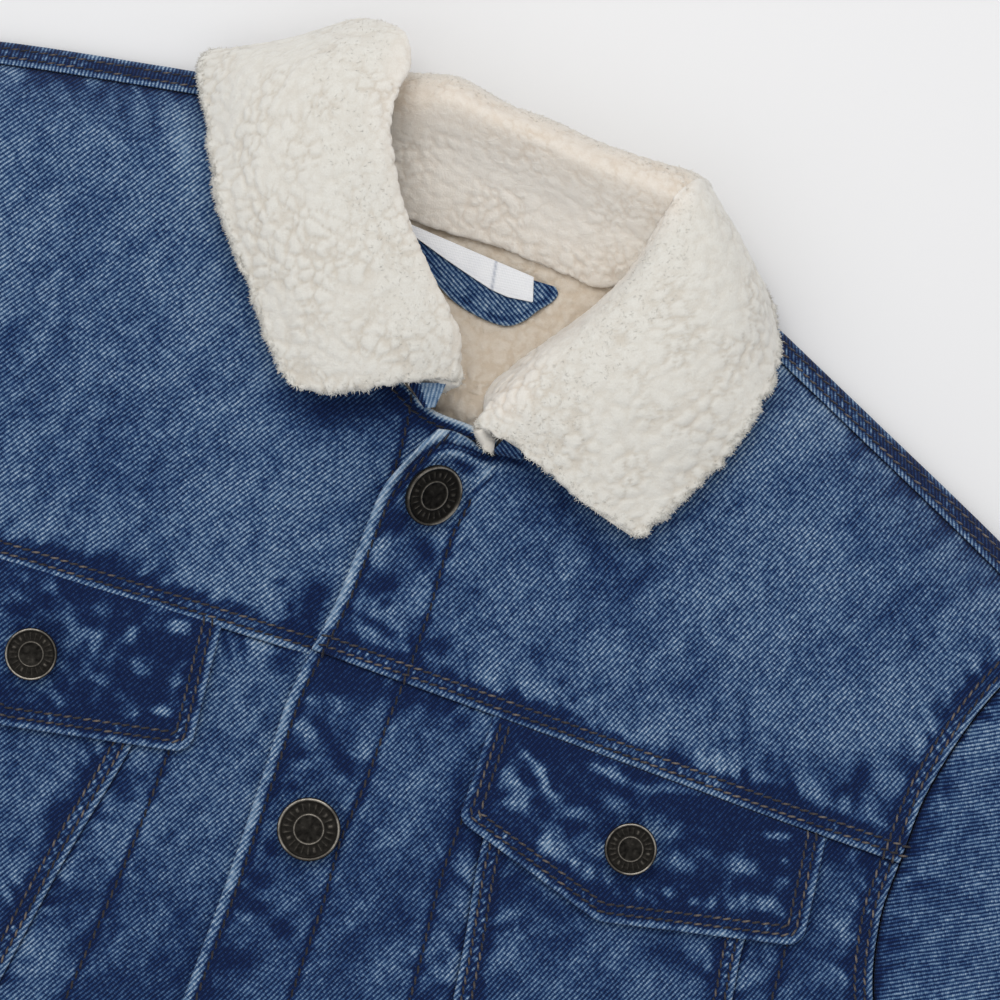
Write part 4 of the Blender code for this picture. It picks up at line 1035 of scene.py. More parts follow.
def makeFront(name, side, hand, height, calm):
    lines = side["lines"]
    centre, inner, outer, arm = (np.array(p, float) for p in side["yokeSeam"])
    lowCentre, lowInner, lowOuter, lowSide = (np.array(p, float) for p in side["waistSeam"])
    below = np.array([0, hem["under"]])
    bandEnd, armRest = armholeTop(side)
    shoulder = lines["shoulder"]
    slope = (shoulder[-1] - shoulder[0]) / np.hypot(*(shoulder[-1] - shoulder[0]))
    down = np.array([slope[1], -slope[0]]) * (1 if slope[0] > 0 else -1)
    strip = np.vstack([through(side["shoulder"], 8)[:-1] + down * hem["band"], bandEnd])
    strip = evenly(strip, 1.0)
    neck = lines["neckline"]
    neck = neck[np.hypot(*(neck - shoulder[0]).T) > hem["band"]]
    folds = frontFoldsAndShade[name]
    grain = frontGrain[name]
    over = np.array([hand * overlap, 0.0])
    bandLine = strip + down * overlap
    yokeLine = straight([centre, inner, outer, arm], 1.0) - (0, overlap)
    edgeYoke, edgeLow = lines["edgeYoke"], lines["edgeLow"]
    edgeKind = "placket" if name == "left" else "raw"
    innerLine, outerLine = lines["innerSeam"] - over, lines["outerSeam"] + over
    row = [(straight(facingRows[name], 1.0), "row")]
    group = "front_" + name

    seams = [(bandLine, "felled")]
    ring = ringOf(shoulder, bandLine[::-1])
    sew("shoulder_band_" + name, group, ring, surfaceOf(height, seams, folds, calm, -0.04), seams,
        grain=grain["yoke"] + 40)

    seams = [(yokeLine, "felled"), (strip, "under"), (armRest, "felled"), (edgeYoke, edgeKind),
             (neck, "raw" if name == "left" else "neckEdge")] + row
    ring = ringOf(neck, strip, armRest, yokeLine[::-1], edgeYoke)
    surface = surfaceOf(height, seams, folds, calm)
    sew("front_yoke_" + name, group, ring, surface, seams, grain=grain["yoke"])

    seams = [(lines["yokeSeam"], "under"), (lines["innerSeam"], "under"), (edgeLow, edgeKind),
             (lines["waistSeam"], "under")] + (row if name == "left" else []) + pocketRows[name][:1]
    ring = ringOf(straight([centre, inner], 1.0), lines["innerSeam"],
                  straight([lowInner - below, lowCentre - below], 1.0),
                  edgeLow[::-1])
    sew("front_centre_" + name, group, ring, surfaceOf(height, seams, folds, calm), seams,
        grain=grain["centre"])

    seams = [(lines["yokeSeam"], "under"), (innerLine, "felled"), (outerLine, "felled"),
             (lines["waistSeam"], "under")]
    ring = ringOf(straight([inner - over, outer + over], 1.0), outerLine,
                  straight([lowOuter + over - below, lowInner - over - below], 1.0), innerLine[::-1])
    flapTop = underFlap[name]
    base = surfaceOf(height, seams, folds, calm)

    def panelSurface(x, y):
        z, tone = base(x, y)
        return z - 1.3 * smooth((y - flapTop + 14) / 9), tone
    sew("front_panel_" + name, group, ring, panelSurface, seams, grain=grain["panel"])

    seams = [(lines["yokeSeam"], "under"), (lines["outerSeam"], "under"), (lines["armholeLower"], "felled"),
             (lines["waistSeam"], "under")] + pocketRows[name][1:]
    ring = ringOf(straight([outer, arm], 1.0), lines["armholeLower"], lines["side"],
                  straight([lowSide - below, lowOuter - below], 1.0), lines["outerSeam"][::-1])
    sew("front_side_" + name, group, ring, surfaceOf(height, seams, folds, calm), seams,
        grain=grain["side"])

    corners = [lowCentre, lowSide, (lowSide[0] * hem["taper"], hem["y"]), (lowCentre[0], hem["y"])]
    topLine = straight([lowCentre, lowSide], 1.0)
    footLine, endLine = straight([corners[3], corners[2]], 1.0), straight([corners[0], corners[3]], 1.0)
    seams = [(topLine, "turned"), (footLine, "turned"), (endLine, "turned" if name == "left" else "raw")]
    
    def bandHeight(x, y):
        proud = form["proud"] * (0.4 + 0.6 * smooth((abs(lowSide[0]) - abs(x)) / 14))
        return height(x, y) + proud - 0.3 * (lapped(x) if name == "right" else 0)
    sew("waistband_" + name, group, polygon(corners), surfaceOf(bandHeight, seams, (), calm, -0.03), seams,
        form["band"], grain=grain["band"] + 90)


pocketRows = {
    "left": [(through([(37.2, -30), (37.5, -50), (41, -83), (44, -140), (47, -180)], 1.0), "row"),
             (through([(129.3, -30), (131, -48), (133, -90), (134, -150), (133, -180)], 1.0), "row")],
    "right": [(through([(-42.2, -37), (-42.7, -75), (-46, -130), (-50, -180)], 1.0), "row"),
              (through([(-131, -35), (-133, -80), (-135, -130), (-134, -180)], 1.0), "row")],
}
underFlap = {"left": -3.0, "right": -9.0}


backCut = {
    "neck": [(-80.3, 134.6), (-62, 122.5), (-46, 117), (-31, 114.6), (-7, 115), (14, 113.4), (30, 113.6),
             (46, 117), (60.5, 125.2)],
    "side": (150.5, 10), "centre": (55, 4),  # the yoke seam's ends at the armhole and at the centre panel
    "foot": (62, hem["waist"]), "hip": 203.0, "band": form["band"] - 0.05,
}


def makeBack():
    neck = through(backCut["neck"], 1.0)
    arms = {key: wholeArmhole(side) for key, side in sides.items()}
    high = {key: arm[arm[:, 1] > backCut["side"][1] + 0.5] for key, arm in arms.items()}
    low = {key: arm[arm[:, 1] < backCut["side"][1] - 0.5] for key, arm in arms.items()}
    coarsely = {"zone": nowhere, "restsOn": ()}

    def onHand(point, hand):
        return hand * point[0], point[1]

    def flat(x, y):
        return np.full(len(x), form["denim"]) - 0.1 * (1 + noise(55, x / 3, y / 3)), washTone(x, y) - 0.04
    side, centre, foot = ([onHand(backCut[key], hand) for hand in (-1, 1)]
                          for key in ("side", "centre", "foot"))
    yokeSeam = straight([side[1], centre[1], centre[0], side[0]], 1.0)
    ring = ringOf(neck, leftSide["lines"]["shoulder"], high["left"], yokeSeam, high["right"][::-1],
                  rightSide["lines"]["shoulder"][::-1])
    sew("back_yoke", "back", ring, flat, [], **coarsely)
    ring = ringOf(straight(centre, 1.0), straight([centre[1], foot[1]], 1.0),
                  straight([foot[0], centre[0]], 1.0))
    sew("back_centre", "back", ring, flat, [], **coarsely)
    for key, k in (("left", 1), ("right", 0)):
        ring = ringOf(straight([centre[k], side[k]], 1.0), low[key], sides[key]["lines"]["side"],
                      straight([foot[k], centre[k]], 1.0))
        sew("back_side_" + key, "back", ring, flat, [], **coarsely)
    hip = backCut["hip"]
    corners = [(-hip, hem["waist"]), (hip, hem["waist"]), (hip * hem["taper"], hem["y"]),
               (-hip * hem["taper"], hem["y"])]
    sew("waistband_back", "back", polygon(corners), flatSurface(backCut["band"]), [], backCut["band"],
        grain=154,
        **coarsely)


def cuffLines(side):
    outer, inner = through(side["sleeveOuter"], 1.0), through(side["sleeveInner"], 1.0)
    along = (outer[-1] - outer[-20]) + (inner[-1] - inner[-20])
    along /= np.hypot(*along)
    kept = [line[(line - line[-1]) @ along < -hem["cuff"]] for line in (outer, inner)]
    return kept, (outer[-1], inner[-1]), along


def makeSleeve(name, side):
    (outer, inner), mouth, along = cuffLines(side)
    arm = wholeArmhole(side)
    ring = ringOf(arm, inner, outer[::-1])
    cuffEdge = straight([outer[-1], inner[-1]], 1.0)
    seams = [(arm, "under"), (cuffEdge, "under")]
    surface = surfaceOf(frontHeight, seams, sleeveFolds[name])
    sew("sleeve_front_" + name, "sleeves", ring, surface, seams, grain=frontGrain[name]["sleeve"], gap=0.35,
        restsOn=("sleeve_back_" + name,))
    sew("sleeve_back_" + name, "back", ring, flatSurface(form["denim"] - 0.02, -0.04), [], gap=0.35,
        restsOn=(),
        grain=frontGrain[name]["sleeve"], zone=nowhere)
    makeCuff(name, outer[-1], inner[-1], mouth, along)


cuffLook = {"around": 160, "along": 30, "square": 0.72, "rows": (3.2, 5.8)}


def makeCuff(name, outer, inner, mouth, along):
    starts = outer + along * form["gap"], inner + along * form["gap"]
    aroundCount, alongCount, square = cuffLook["around"], cuffLook["along"], cuffLook["square"]

    def endsAt(t):  # the cuff's outer and inner end at this part of its length
        return [start + (end - start) * t for start, end in zip(starts, mouth)]
    turns = np.linspace(0, 2 * math.pi, aroundCount, endpoint=False)
    across = np.sign(np.cos(turns)) * np.abs(np.cos(turns)) ** square
    up = np.sign(np.sin(turns)) * np.abs(np.sin(turns)) ** square
    places = np.linspace(0, 1, alongCount + 1)
    length = np.hypot(*(mouth[0] - starts[0]))
    layers, tones = [], []
    for wall in (0.0, form["band"]):
        grid = []
        for t in places:
            a, b = endsAt(t)
            middle, half = (a + b) / 2, (a - b) / 2
            high = float(frontHeight(middle[:1], middle[1:])[0]) + form["proud"]
            span = np.hypot(*half)
            shrink = (span - wall) / span
            edge = min(t, 1 - t) * length
            d = np.full(aroundCount, edge)
            around = turns / (2 * math.pi) * 4 * span
            rise, tone = seamProfile(d, around, seamLooks["turned"], 300 + 9 * (t > 0.5))
            rise = (rise - 0.4) * (up > -0.2) * (wall == 0)
            level = high / 2 * (1 + up) if wall == 0 else wall + (high - 2 * wall) / 2 * (1 + up)
            roundOff = 0.7 * (1 - math.sqrt(max(1 - (1 - min(edge / 0.9, 1)) ** 2,
                                                0))) * (1 if wall == 0 else -1)
            xy = middle + half * (across * shrink)[:, None]
            z = np.maximum(level + rise - roundOff * up, 0.02 if wall == 0 else 0.6)
            grid.append(np.column_stack([xy, z]))
            if wall == 0:
                tones.append(washTone(xy[:, 0], xy[:, 1]) + tone)
            else:
                tones.append(np.full(aroundCount, 0.3))
        layers.append(np.array(grid))
    points = np.vstack([layer.reshape(-1, 3) for layer in layers])
    size = aroundCount * (alongCount + 1)
    faces = []
    width = mouth[0] - mouth[1]
    flip = width[0] * along[1] - width[1] * along[0] < 0
    for k in range(aroundCount):
        after = (k + 1) % aroundCount
        for j in range(alongCount):
            a, b = j * aroundCount + k, j * aroundCount + after
            faces.append((a, b, b + aroundCount, a + aroundCount))
            faces.append((size + b, size + a, size + a + aroundCount, size + b + aroundCount))
        faces.append((after, k, size + k, size + after))
        last = alongCount * aroundCount
        faces.append((last + k, last + after, size + last + after, size + last + k))
    if not flip:
        faces = [face[::-1] for face in faces]
    span = np.hypot(*width)
    frameOf = np.column_stack([np.tile(np.repeat(places * length, aroundCount), 2),
                               np.tile(np.tile(turns / math.pi * span, alongCount + 1), 2),
                               np.zeros(2 * size)])
    cloth = clothFrame(frameOf[:, 0], frameOf[:, 1], 64)
    piece = newPiece("cloth_cuff_" + name, points, faces, looks["denim"], {"tone": np.concatenate(tones)},
                     {"cloth": cloth})
    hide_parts("cuff_" + name)

    def cuffTop(x, y):
        relative = np.column_stack([x, y]) - starts[0]
        t = ((relative @ along) / length).clip(0, 1)
        a, b = endsAt(t[:, None])
        middle, half = (a + b) / 2, (a - b) / 2
        spans = np.hypot(*half.T)
        place = (((np.column_stack([x, y]) - middle) * half).sum(axis=1) / spans ** 2).clip(-0.999, 0.999)
        turnAt = np.arccos(np.sign(place) * np.abs(place) ** (1 / square))
        high = frontHeight(middle[:, 0], middle[:, 1]) + form["proud"]
        return high / 2 * (1 + np.sin(turnAt) ** square) - 0.3, None
    near, far = cuffLook["rows"]
    for edge in (near, far, length - far, length - near):
        a, b = endsAt(edge / length)
        addStitches("sleeves", straight([a + (b - a) * 0.03, b + (a - b) * 0.03], 1.0), cuffTop)


flapGain = {"wide": 1.15, "pale": 1.45, "dark": 1.1}  # how much stronger the flaps' marks are drawn


def flapMarks(name):
    return [(line, flapGain["wide"] * wide, high, light * flapGain["pale" if light > 0 else "dark"])
            for line, wide, high, light in flapFoldsAndShade[name]]


def flapHeight(x, y):
    return frontHeight(x, y) + form["gap"] + form["flap"]


flapLook = {
    "left": {"corners": [((35.4, -3.6), 0), ((36.2, -32.8), 4), ((80.2, -45.2), 8), ((133.6, -32.4), 5),
                         ((129.6, -3.3), 0)], "turn": 0.0, "seed": 21, "grain": 66},
    "right": {"corners": [((-128, -11.8), 0), ((-131, -39), 5), ((-87, -52), 8), ((-36.6, -41.2), 5),
                          ((-40.7, -6.4), 0)], "turn": -3.0, "seed": 27, "grain": 60},
}


# Marks on the flaps, in the columns of the fronts' marks: grooves darker and ridges lighter, partly painted
# shade and highlight; the dark band along the left flap's top, under the yoke's edge, is painted shade
flapFoldsAndShade = {
    "left": [
        ([(42, -25), (58, -24), (72, -32)], 6, 0, 0.05), ([(80, -16), (96, -20), (110, -22)], 6, 0, 0.05),
        ([(66, -36), (84, -41), (104, -36), (122, -30)], 3, 0, 0.08),
        ([(38, -6), (80, -6.2), (127, -6)], 3.6, 0, -0.17),
        ([(44, -13), (56, -17), (66, -14)], 5, 0, -0.14),
        ([(88, -13), (104, -11), (118, -12)], 5, 0, -0.12),
        ([(44, -8), (52, -9), (60, -10)], 3, 0, -0.14), ([(92, -12), (104, -14)], 3.5, 0, -0.14),
        ([(41, -9.1), (47.6, -10.2), (52.5, -13.6), (55.4, -17.3), (61.5, -19.8)], 1.2, 0.35, 0.3),
        ([(42.2, -19.1), (46.7, -18.5), (49.1, -22.8), (45.2, -25.1)], 2.6, 0.2, 0.2),
        ([(50.3, -18.4), (52.8, -19.8)], 1.6, 0.1, 0.14),
        ([(45.4, -15), (50.9, -17), (53, -18.2)], 1.2, -0.2, -0.15),
        ([(52.2, -22.5), (56.1, -22.2), (59.4, -24.6)], 2, -0.1, -0.14),
        ([(61.4, -6.7), (68.3, -6.9), (74.7, -8.1), (80.4, -8.3)], 1.4, 0.3, 0.26),
        ([(71.9, -6.4), (80, -7), (91.9, -4.5), (99, -5.5), (102.6, -6.5)], 1.6, 0.3, 0.26),
        ([(59.6, -28.5), (61.6, -31.7), (64, -32.8)], 1.6, 0.3, 0.26),
        ([(67.8, -32.2), (70, -33.8)], 1.2, 0.25, 0.24), ([(72.6, -32.4), (74.4, -34.9)], 1, 0.2, 0.22),
        ([(78.1, -33.1), (81, -35.6), (82.7, -37)], 1.4, 0.3, 0.26),
        ([(87.2, -32.9), (88.8, -35.1)], 0.9, 0.2, 0.2),
        ([(106.3, -9.1), (111.2, -13.6), (114.1, -15)], 2.2, 0.1, 0.12),
        ([(107.6, -12.8), (113.5, -13.1), (118.4, -10.4), (121.7, -8.3)], 3, -0.15, -0.18),
        ([(104.7, -7.2), (112.4, -5.6), (120, -3.6)], 1.6, 0, -0.18),
        ([(112.6, -8.4), (117.1, -7.1), (121.4, -6.4)], 1.1, 0.25, 0.24),
        ([(120.3, -12.2), (122.1, -12.8)], 0.9, 0.2, 0.2),
        ([(119.1, -18.1), (122.7, -17.6), (122, -20.3)], 1.8, 0.25, 0.26),
        ([(116.9, -22.2), (120.6, -22.1)], 1.6, -0.15, -0.18),
        ([(93.6, -30.1), (97.2, -32.9)], 1.1, 0.25, 0.22), ([(101, -29.8), (103, -32.8)], 1.4, 0.3, 0.24),
        ([(106.1, -27.9), (108.3, -30.4)], 1.3, 0.3, 0.24),
        ([(111.8, -26.2), (112, -30.3)], 1.6, 0.3, 0.24), ([(115, -23.8), (113.8, -27.1)], 1, 0.2, 0.18),
        ([(120.1, -24), (123.4, -24), (124.1, -22.5)], 1.6, 0.3, 0.24),
        ([(90.8, -34.9), (93.8, -35)], 1.2, 0.25, 0.2), ([(97.8, -29), (100.2, -32.2)], 0.9, -0.1, -0.12),
        ([(103.6, -17.6), (108.5, -17.5), (113.2, -19), (115.5, -20.7)], 2, 0.15, 0.16),
        ([(91.8, -22.9), (97.7, -21.9), (104.1, -22.4)], 2.6, 0.1, 0.1),
        ([(99.4, -26.7), (104.1, -25.8), (108.9, -23.1)], 2, -0.1, -0.14),
        ([(91.3, -27.2), (94.3, -28.6)], 1.6, -0.1, -0.12),
    ],
    "right": [
        ([(-62, -19), (-45, -31)], 9, 0, -0.08),
        ([(-54.4, -13.8), (-52.3, -11), (-47.4, -11.2)], 1.6, 0.3, 0.26),
        ([(-64.4, -16.8), (-62.4, -16), (-60, -14.7)], 1.4, 0.25, 0.22),
        ([(-63, -18.6), (-60.4, -16.8)], 1.2, 0.15, 0.16),
        ([(-57.1, -30), (-56.3, -25.7), (-58.5, -24.1), (-53.7, -26.3)], 1.8, 0.3, 0.24),
        ([(-51.1, -23.7), (-48.2, -25), (-46.1, -24.2), (-47.4, -28.3), (-49.7, -28.4)], 1.8, 0.3, 0.26),
        ([(-50, -35.2), (-48, -32.9), (-45.2, -33.1)], 1, 0.2, 0.24),
        ([(-54.3, -35.3), (-53.3, -36.9)], 0.8, 0.15, 0.2),
        ([(-59.1, -20.3), (-55.9, -18.3), (-54.1, -16.9)], 2, -0.1, -0.14),
        ([(-53.3, -30.5), (-49.2, -31), (-46.2, -30.3)], 2, -0.1, -0.14),
    ],
}


def makeFlap(name):
    made = flapLook[name]
    corners = made["corners"]
    ring = ringOf(resampled(rounded(corners), 0.5))
    topA, topB = np.array(corners[0][0], float), np.array(corners[-1][0], float)
    start = int(np.argmin(np.hypot(*(ring - (topA if topA[0] < topB[0] else topB)).T)))
    rolled = np.roll(ring, -start, axis=0)
    end = int(np.argmin(np.hypot(*(rolled - (topB if topA[0] < topB[0] else topA)).T)))
    skirt = rolled[:end + 1]
    seams = [(skirt, "turned")]
    top = straight([topA, topB], 1.0)

    def surface(x, y):
        rise, tone = workSeams(x, y, seams)
        folds, shades = crease(x, y, flapMarks(name))
        d, _ = alongLine(x, y, evenly(top, 5.0))
        sunk = 1.7 * (1 - smooth((d - 1.5) / 8))
        u, v = onAxes(x, y, math.radians(made["turn"]))
        streak = noise(made["seed"], (u + 0.7 * v) / 11, (v - 0.25 * u) / 3.3)
        blot = noise(made["seed"] + 1, u / 8, v / 5)
        inner = smooth((fromLine(x, y, skirt) - 6.5) / 3)
        mottle = noise(made["seed"] + 2, x / 2.6, y / 2.6) + 0.7 * noise(made["seed"] + 3, x / 5.5, y / 5.5)
        tone = washTone(x, y) - 0.14 + tone + inner * (0.16 * streak + 0.12 * blot) + 0.11 * mottle
        rise = rise + folds + inner * (0.12 * streak + 0.08 * blot)
        # Darker beside the flap's top, which runs under the yoke's edge: painted shade
        tone = tone - 0.1 * bell(d / 3.0)
        return flapHeight(x, y) - sunk + rise, tone + shades

    def wall(x, y):
        d, _ = alongLine(x, y, evenly(top, 5.0))
        return form["flap"] - 1.0 * (1 - smooth(d / 8))
    sew("pocket_flap_" + name, "flaps", ring, surface, seams, wall, grain=made["grain"], gap=0.0,
        restsOn=("front_panel_" + name,))
    return surface


def fromLine(x, y, line):
    return alongLine(x, y, evenly(line, 4.0))[0]


# The collar: a row for each section from its front end to the back, in columns for the neck seam, the stand,
# the roll, the fall, the spread and the outer edge. A point is on the pile's face.
collarRows = {
    "right": [
        [(-12, 71, 21), (-7, 74.5, 24), (-4.2, 77.5, 32), (-20, 69.5, 38), (-33, 62.5, 36),
         (-44.8, 59.2, 32.8)],
        [(-24, 79, 22), (-15, 83.5, 25), (-8.2, 87.5, 35), (-24, 82, 42), (-41, 75.5, 39.5),
         (-57, 68.8, 32.8)],
        [(-37, 91, 24), (-26, 95, 27.5), (-19.5, 98.5, 38), (-36, 95, 44.5), (-54, 88, 41),
         (-70, 84, 32.8)],
        [(-48, 103, 27), (-37, 107, 30), (-30.5, 110, 40), (-47, 106, 45.5), (-65, 101, 41.5),
         (-82, 99, 32.6)],
        [(-57, 118, 26), (-46, 121, 31), (-39.5, 123, 42), (-56, 120, 46), (-75, 116, 40), (-91, 116, 26)],
        [(-60, 132, 24), (-50, 135, 31), (-45.2, 137.6, 41), (-61, 134, 45), (-80, 130.5, 36),
         (-98.5, 129, 17)],
        [(-60, 142, 20), (-51, 146, 26), (-46.0, 151.0, 35), (-62, 149, 38), (-80, 142, 27),
         (-100, 135.5, 11)],
        [(-60, 146, 14), (-54, 152, 18), (-50.4, 158.4, 26), (-63, 158.3, 22), (-77.5, 148.5, 15),
         (-91, 139.5, 9)],
        [(-61, 144, 8.5), (-57, 149, 9), (-54, 153, 9.5), (-63, 153, 9), (-75, 145.5, 8.5),
         (-86, 138.5, 8)],
    ],
    "left": [
        [(10.4, 60.6, 27.8), (5.4, 62.6, 29.6), (3.6, 67.0, 32.4), (20, 64.2, 36.5), (39, 57.2, 36),
         (54.8, 53.4, 32.8)],
        [(3, 75, 17), (5, 76, 24), (9.5, 77.5, 35.5), (25, 76, 41.5), (44, 70, 39.5), (61.3, 64.8, 32.8)],
        [(7, 86, 12), (10, 87, 23), (15.5, 89.5, 38.5), (32, 89, 44.5), (52, 83.5, 41), (68.6, 80, 32.8)],
        [(14, 97, 8.9), (17, 98.5, 23), (22.5, 101, 40), (38, 102, 45), (57, 98, 41), (73.3, 95.5, 32)],
        [(20, 105.5, 8.3), (23, 109, 22), (28, 114, 40), (43, 116, 44), (60, 112, 38), (74.3, 108.5, 25)],
        [(24.5, 111, 8.2), (27.5, 119, 22), (31.5, 127, 39), (45, 129, 41), (60, 125, 32),
         (71.5, 119.5, 16)],
        [(26.8, 113.4, 8.2), (29, 125.5, 22), (32, 137, 37), (43, 140.5, 36), (53.5, 137.5, 24),
         (63, 130.5, 11)],
        [(28.2, 114.8, 8.2), (29.8, 128, 22), (31.8, 141.2, 37), (37.2, 149.4, 28.5), (42, 147.5, 13),
         (43, 135, 6)],
    ],
    "back": [
        [(-58, 118.0, 9.4), (-58, 130, 12), (-57, 140, 17), (-57.6, 145.3, 13), (-59.4, 144.4, 5.5),
         (-58, 130, 0.3)],
        [(-42, 112.6, 9.4), (-42, 129, 17), (-42, 142, 26.5), (-42, 149.8, 18), (-42, 147, 5),
         (-42, 130, 0.3)],
        [(-33, 111.9, 9.6), (-33, 130, 20), (-33, 145, 33), (-33, 152.3, 22), (-33, 149, 5),
         (-33, 130, 0.3)],
        [(-20, 112.0, 9.8), (-20, 130, 21), (-20, 144, 35), (-20, 151, 23), (-20, 147.5, 5),
         (-20, 130, 0.3)],
        [(-7, 113.2, 9.4), (-7, 130, 21), (-7, 143.5, 35), (-7, 150.5, 23), (-7, 147.5, 5), (-7, 130, 0.3)],
        [(8, 112.6, 9.2), (8, 129, 21), (8, 142, 35.5), (8, 149, 23.5), (8, 146, 5), (8, 130, 0.3)],
        [(20, 112.0, 9.0), (20.6, 128, 21.5), (21.6, 141.6, 36), (23, 149.2, 25), (23, 146, 5),
         (23, 130, 0.3)],
        [(28.2, 114.8, 8.4), (29.8, 128, 22), (31.8, 141.2, 36.6), (36.8, 149.4, 27.6), (40, 147.5, 11),
         (40, 134, 4)],
        [(33, 112, 7), (34.5, 124, 20), (37, 136, 34), (42, 144, 25), (45, 143, 9), (45, 131, 3)],
    ],
}
collarSpread = {  # how far the pile spills over the outer edge at each row
    "right": [1.4, 0.4, 0.2, 0.6, 1.4, 1.4, 0.5, 0.2, 0.2],
                "left": [0.3, 0.3, 0.2, 0.0, 0.5, 2.2, 3.2, 2.0, 2.0],
    "back": [0.0] * 9,
}
collarCorners = {"right": 4.0, "left": 3.0}
collarWalls = {
    "right": [1, 1, 1, 1, 1, 0.9, 0.7, 0.4, 0.2],
    "left": [0.45, 1, 1, 1, 1, 1, 1, 0.9],
    "back": [0.35, 0.7, 0.9, 1, 1, 1, 0.95, 0.9, 0.7],
}
pile = {"step": 0.66, "nub": 3.9, "high": 0.72, "small": 1.4, "smallHigh": 0.2, "swell": 0.7,
        "ragged": {"right": 0.9, "left": 1.5, "back": 1.3},
        "warmTo": 2.1, "warmMore": 1.3,  # columns from the neck seam to where the pile stops being warm
        "calm": 0.25, "sunk": 0.45, "underNap": 0.75, "underWarm": 0.4, "fill": 0.3}
fibreLook = {
    "long": (0.7, 1.6), "wide": 0.10, "sink": 0.2, "counts": {"right": 4200, "left": 4200, "back": 1500},
    "brim": 3.0,  # the fibres of the brims stand this near the edge
    "of": 9, "outer": 6,  # of nine fibres six stand on the outer brim, one at the front end, two on the roll
}


def pileAt(points, seed):  # how far the pile stands out at these points, and how light it is there
    x, y, z = (points / pile["nub"]).T
    warp = [0.5 * noise(seed + k, 0.7 * x, 0.7 * y, 0.7 * z)
            + 0.22 * noise(seed + 20 + k, 2 * x, 2 * y, 2 * z) for k in range(3)]
    near, second = nubs(seed + 3, x + warp[0], y + warp[1], z + warp[2])
    lump = (1 - (near / 0.85) ** 2).clip(-0.2, 1)
    parted = smooth((noise(seed + 7, 0.5 * x, 0.5 * y, 0.5 * z) + 0.35) / 0.8)
    crevice = (1 - smooth((second - near) / 0.24)) * (0.25 + 0.75 * parted)
    x, y, z = (points / pile["small"]).T
    tinyNear, _ = nubs(seed + 9, x, y, z)
    tiny = (1 - (tinyNear / 0.85) ** 2).clip(-0.2, 1)
    x, y, z = (points / 15).T
    swell = noise(seed + 13, x, y, z)
    high = pile["high"] * (0.55 * lump - 0.62 * crevice) + pile["smallHigh"] * tiny + pile["swell"] * swell
    # The pile's tone is darker in the crevices between the nubs and lighter on their tops: painted shade and
    # highlight
    return high, 0.73 - 0.4 * crevice + 0.12 * lump + 0.10 * tiny


def fibresOn(points, normals, outward, seed):
    # one short curved fibre at each of these points: its points, faces and how light it is
    count = len(points)
    rolls = [hashed(seed + k, np.arange(count)) for k in range(6)]
    side = np.cross(normals, np.column_stack([rolls[0] - 0.5, rolls[1] - 0.5, rolls[2] - 0.5]))
    side /= np.maximum(np.linalg.norm(side, axis=1), 1e-6)[:, None]
    length = (fibreLook["long"][0] + rolls[3] * np.ptp(fibreLook["long"]))[:, None]
    heading = normals * (0.12 + 0.5 * rolls[4])[:, None] + side + 1.1 * outward
    heading /= np.linalg.norm(heading, axis=1)[:, None]
    curl = normals * (0.5 - 1.1 * rolls[5])[:, None] + np.cross(heading, normals) * (rolls[0] - 0.5)[:, None]
    start = points - fibreLook["sink"] * normals
    places = [start + heading * length * t + curl * length * 0.5 * t ** 2 for t in (0, 0.3, 0.7, 1)]
    across = np.cross(heading, normals + 0.3 * side)
    across /= np.maximum(np.linalg.norm(across, axis=1), 1e-6)[:, None]
    above = np.cross(heading, across)
    rows = [places[0]]
    for place, share in ((places[1], 1.0), (places[2], 0.8)):
        for turn in (0.0, 2.094, 4.189):
            around = across * math.cos(turn) + above * math.sin(turn)
            rows.append(place + fibreLook["wide"] * share * around)
    rows.append(places[3])
    made = np.stack(rows, axis=1).reshape(-1, 3)
    pattern = [(0, 2, 1), (0, 3, 2), (0, 1, 3), (1, 2, 5, 4), (2, 3, 6, 5), (3, 1, 4, 6), (4, 5, 7),
               (5, 6, 7), (6, 4, 7)]
    faces = [tuple(8 * i + k for k in face) for i in range(count) for face in pattern]
    return made, faces, np.repeat(0.72 + 0.34 * rolls[4], 8)


def tableSurface(rows, step):  # an even grid of points on the smooth surface through a table's rows
    across = [evenly(through(row, 0.5), 0.25) for row in rows]
    width = float(np.mean([np.linalg.norm(np.diff(line, axis=0), axis=1).sum() for line in across]))
    columns = 2 * round(width / step / 2)
    across = np.array([np.column_stack([np.interp(np.linspace(0, 1, columns + 1),
                                                  np.linspace(0, 1, len(line)),
                                                  line[:, k]) for k in range(3)]) for line in across])
    lengths = [np.linalg.norm(np.diff(across[:, k], axis=0), axis=1).sum() for k in range(0, columns, 8)]
    count = 2 * round(float(np.mean(lengths)) / step / 2)
    grid = np.zeros((count + 1, columns + 1, 3))
    share = np.zeros((count + 1, columns + 1))
    for k in range(columns + 1):
        line = through(across[:, k], 0.5)
        run = np.concatenate([[0], np.cumsum(np.linalg.norm(np.diff(line, axis=0), axis=1))])
        knots = []
        for point in across[:, k]:
            knots.append(run[int(np.argmin(np.linalg.norm(line - point, axis=1)))])
        places = np.linspace(0, run[-1], count + 1)
        grid[:, k] = np.column_stack([np.interp(places, run, line[:, j]) for j in range(3)])
        share[:, k] = np.interp(places, np.maximum.accumulate(knots), np.arange(len(rows)))
    return grid, share


def gridNormals(grid):
    along, across = np.gradient(grid, axis=0), np.gradient(grid, axis=1)
    normal = np.cross(across, along)
    return normal / np.maximum(np.linalg.norm(normal, axis=2), 1e-9)[..., None]


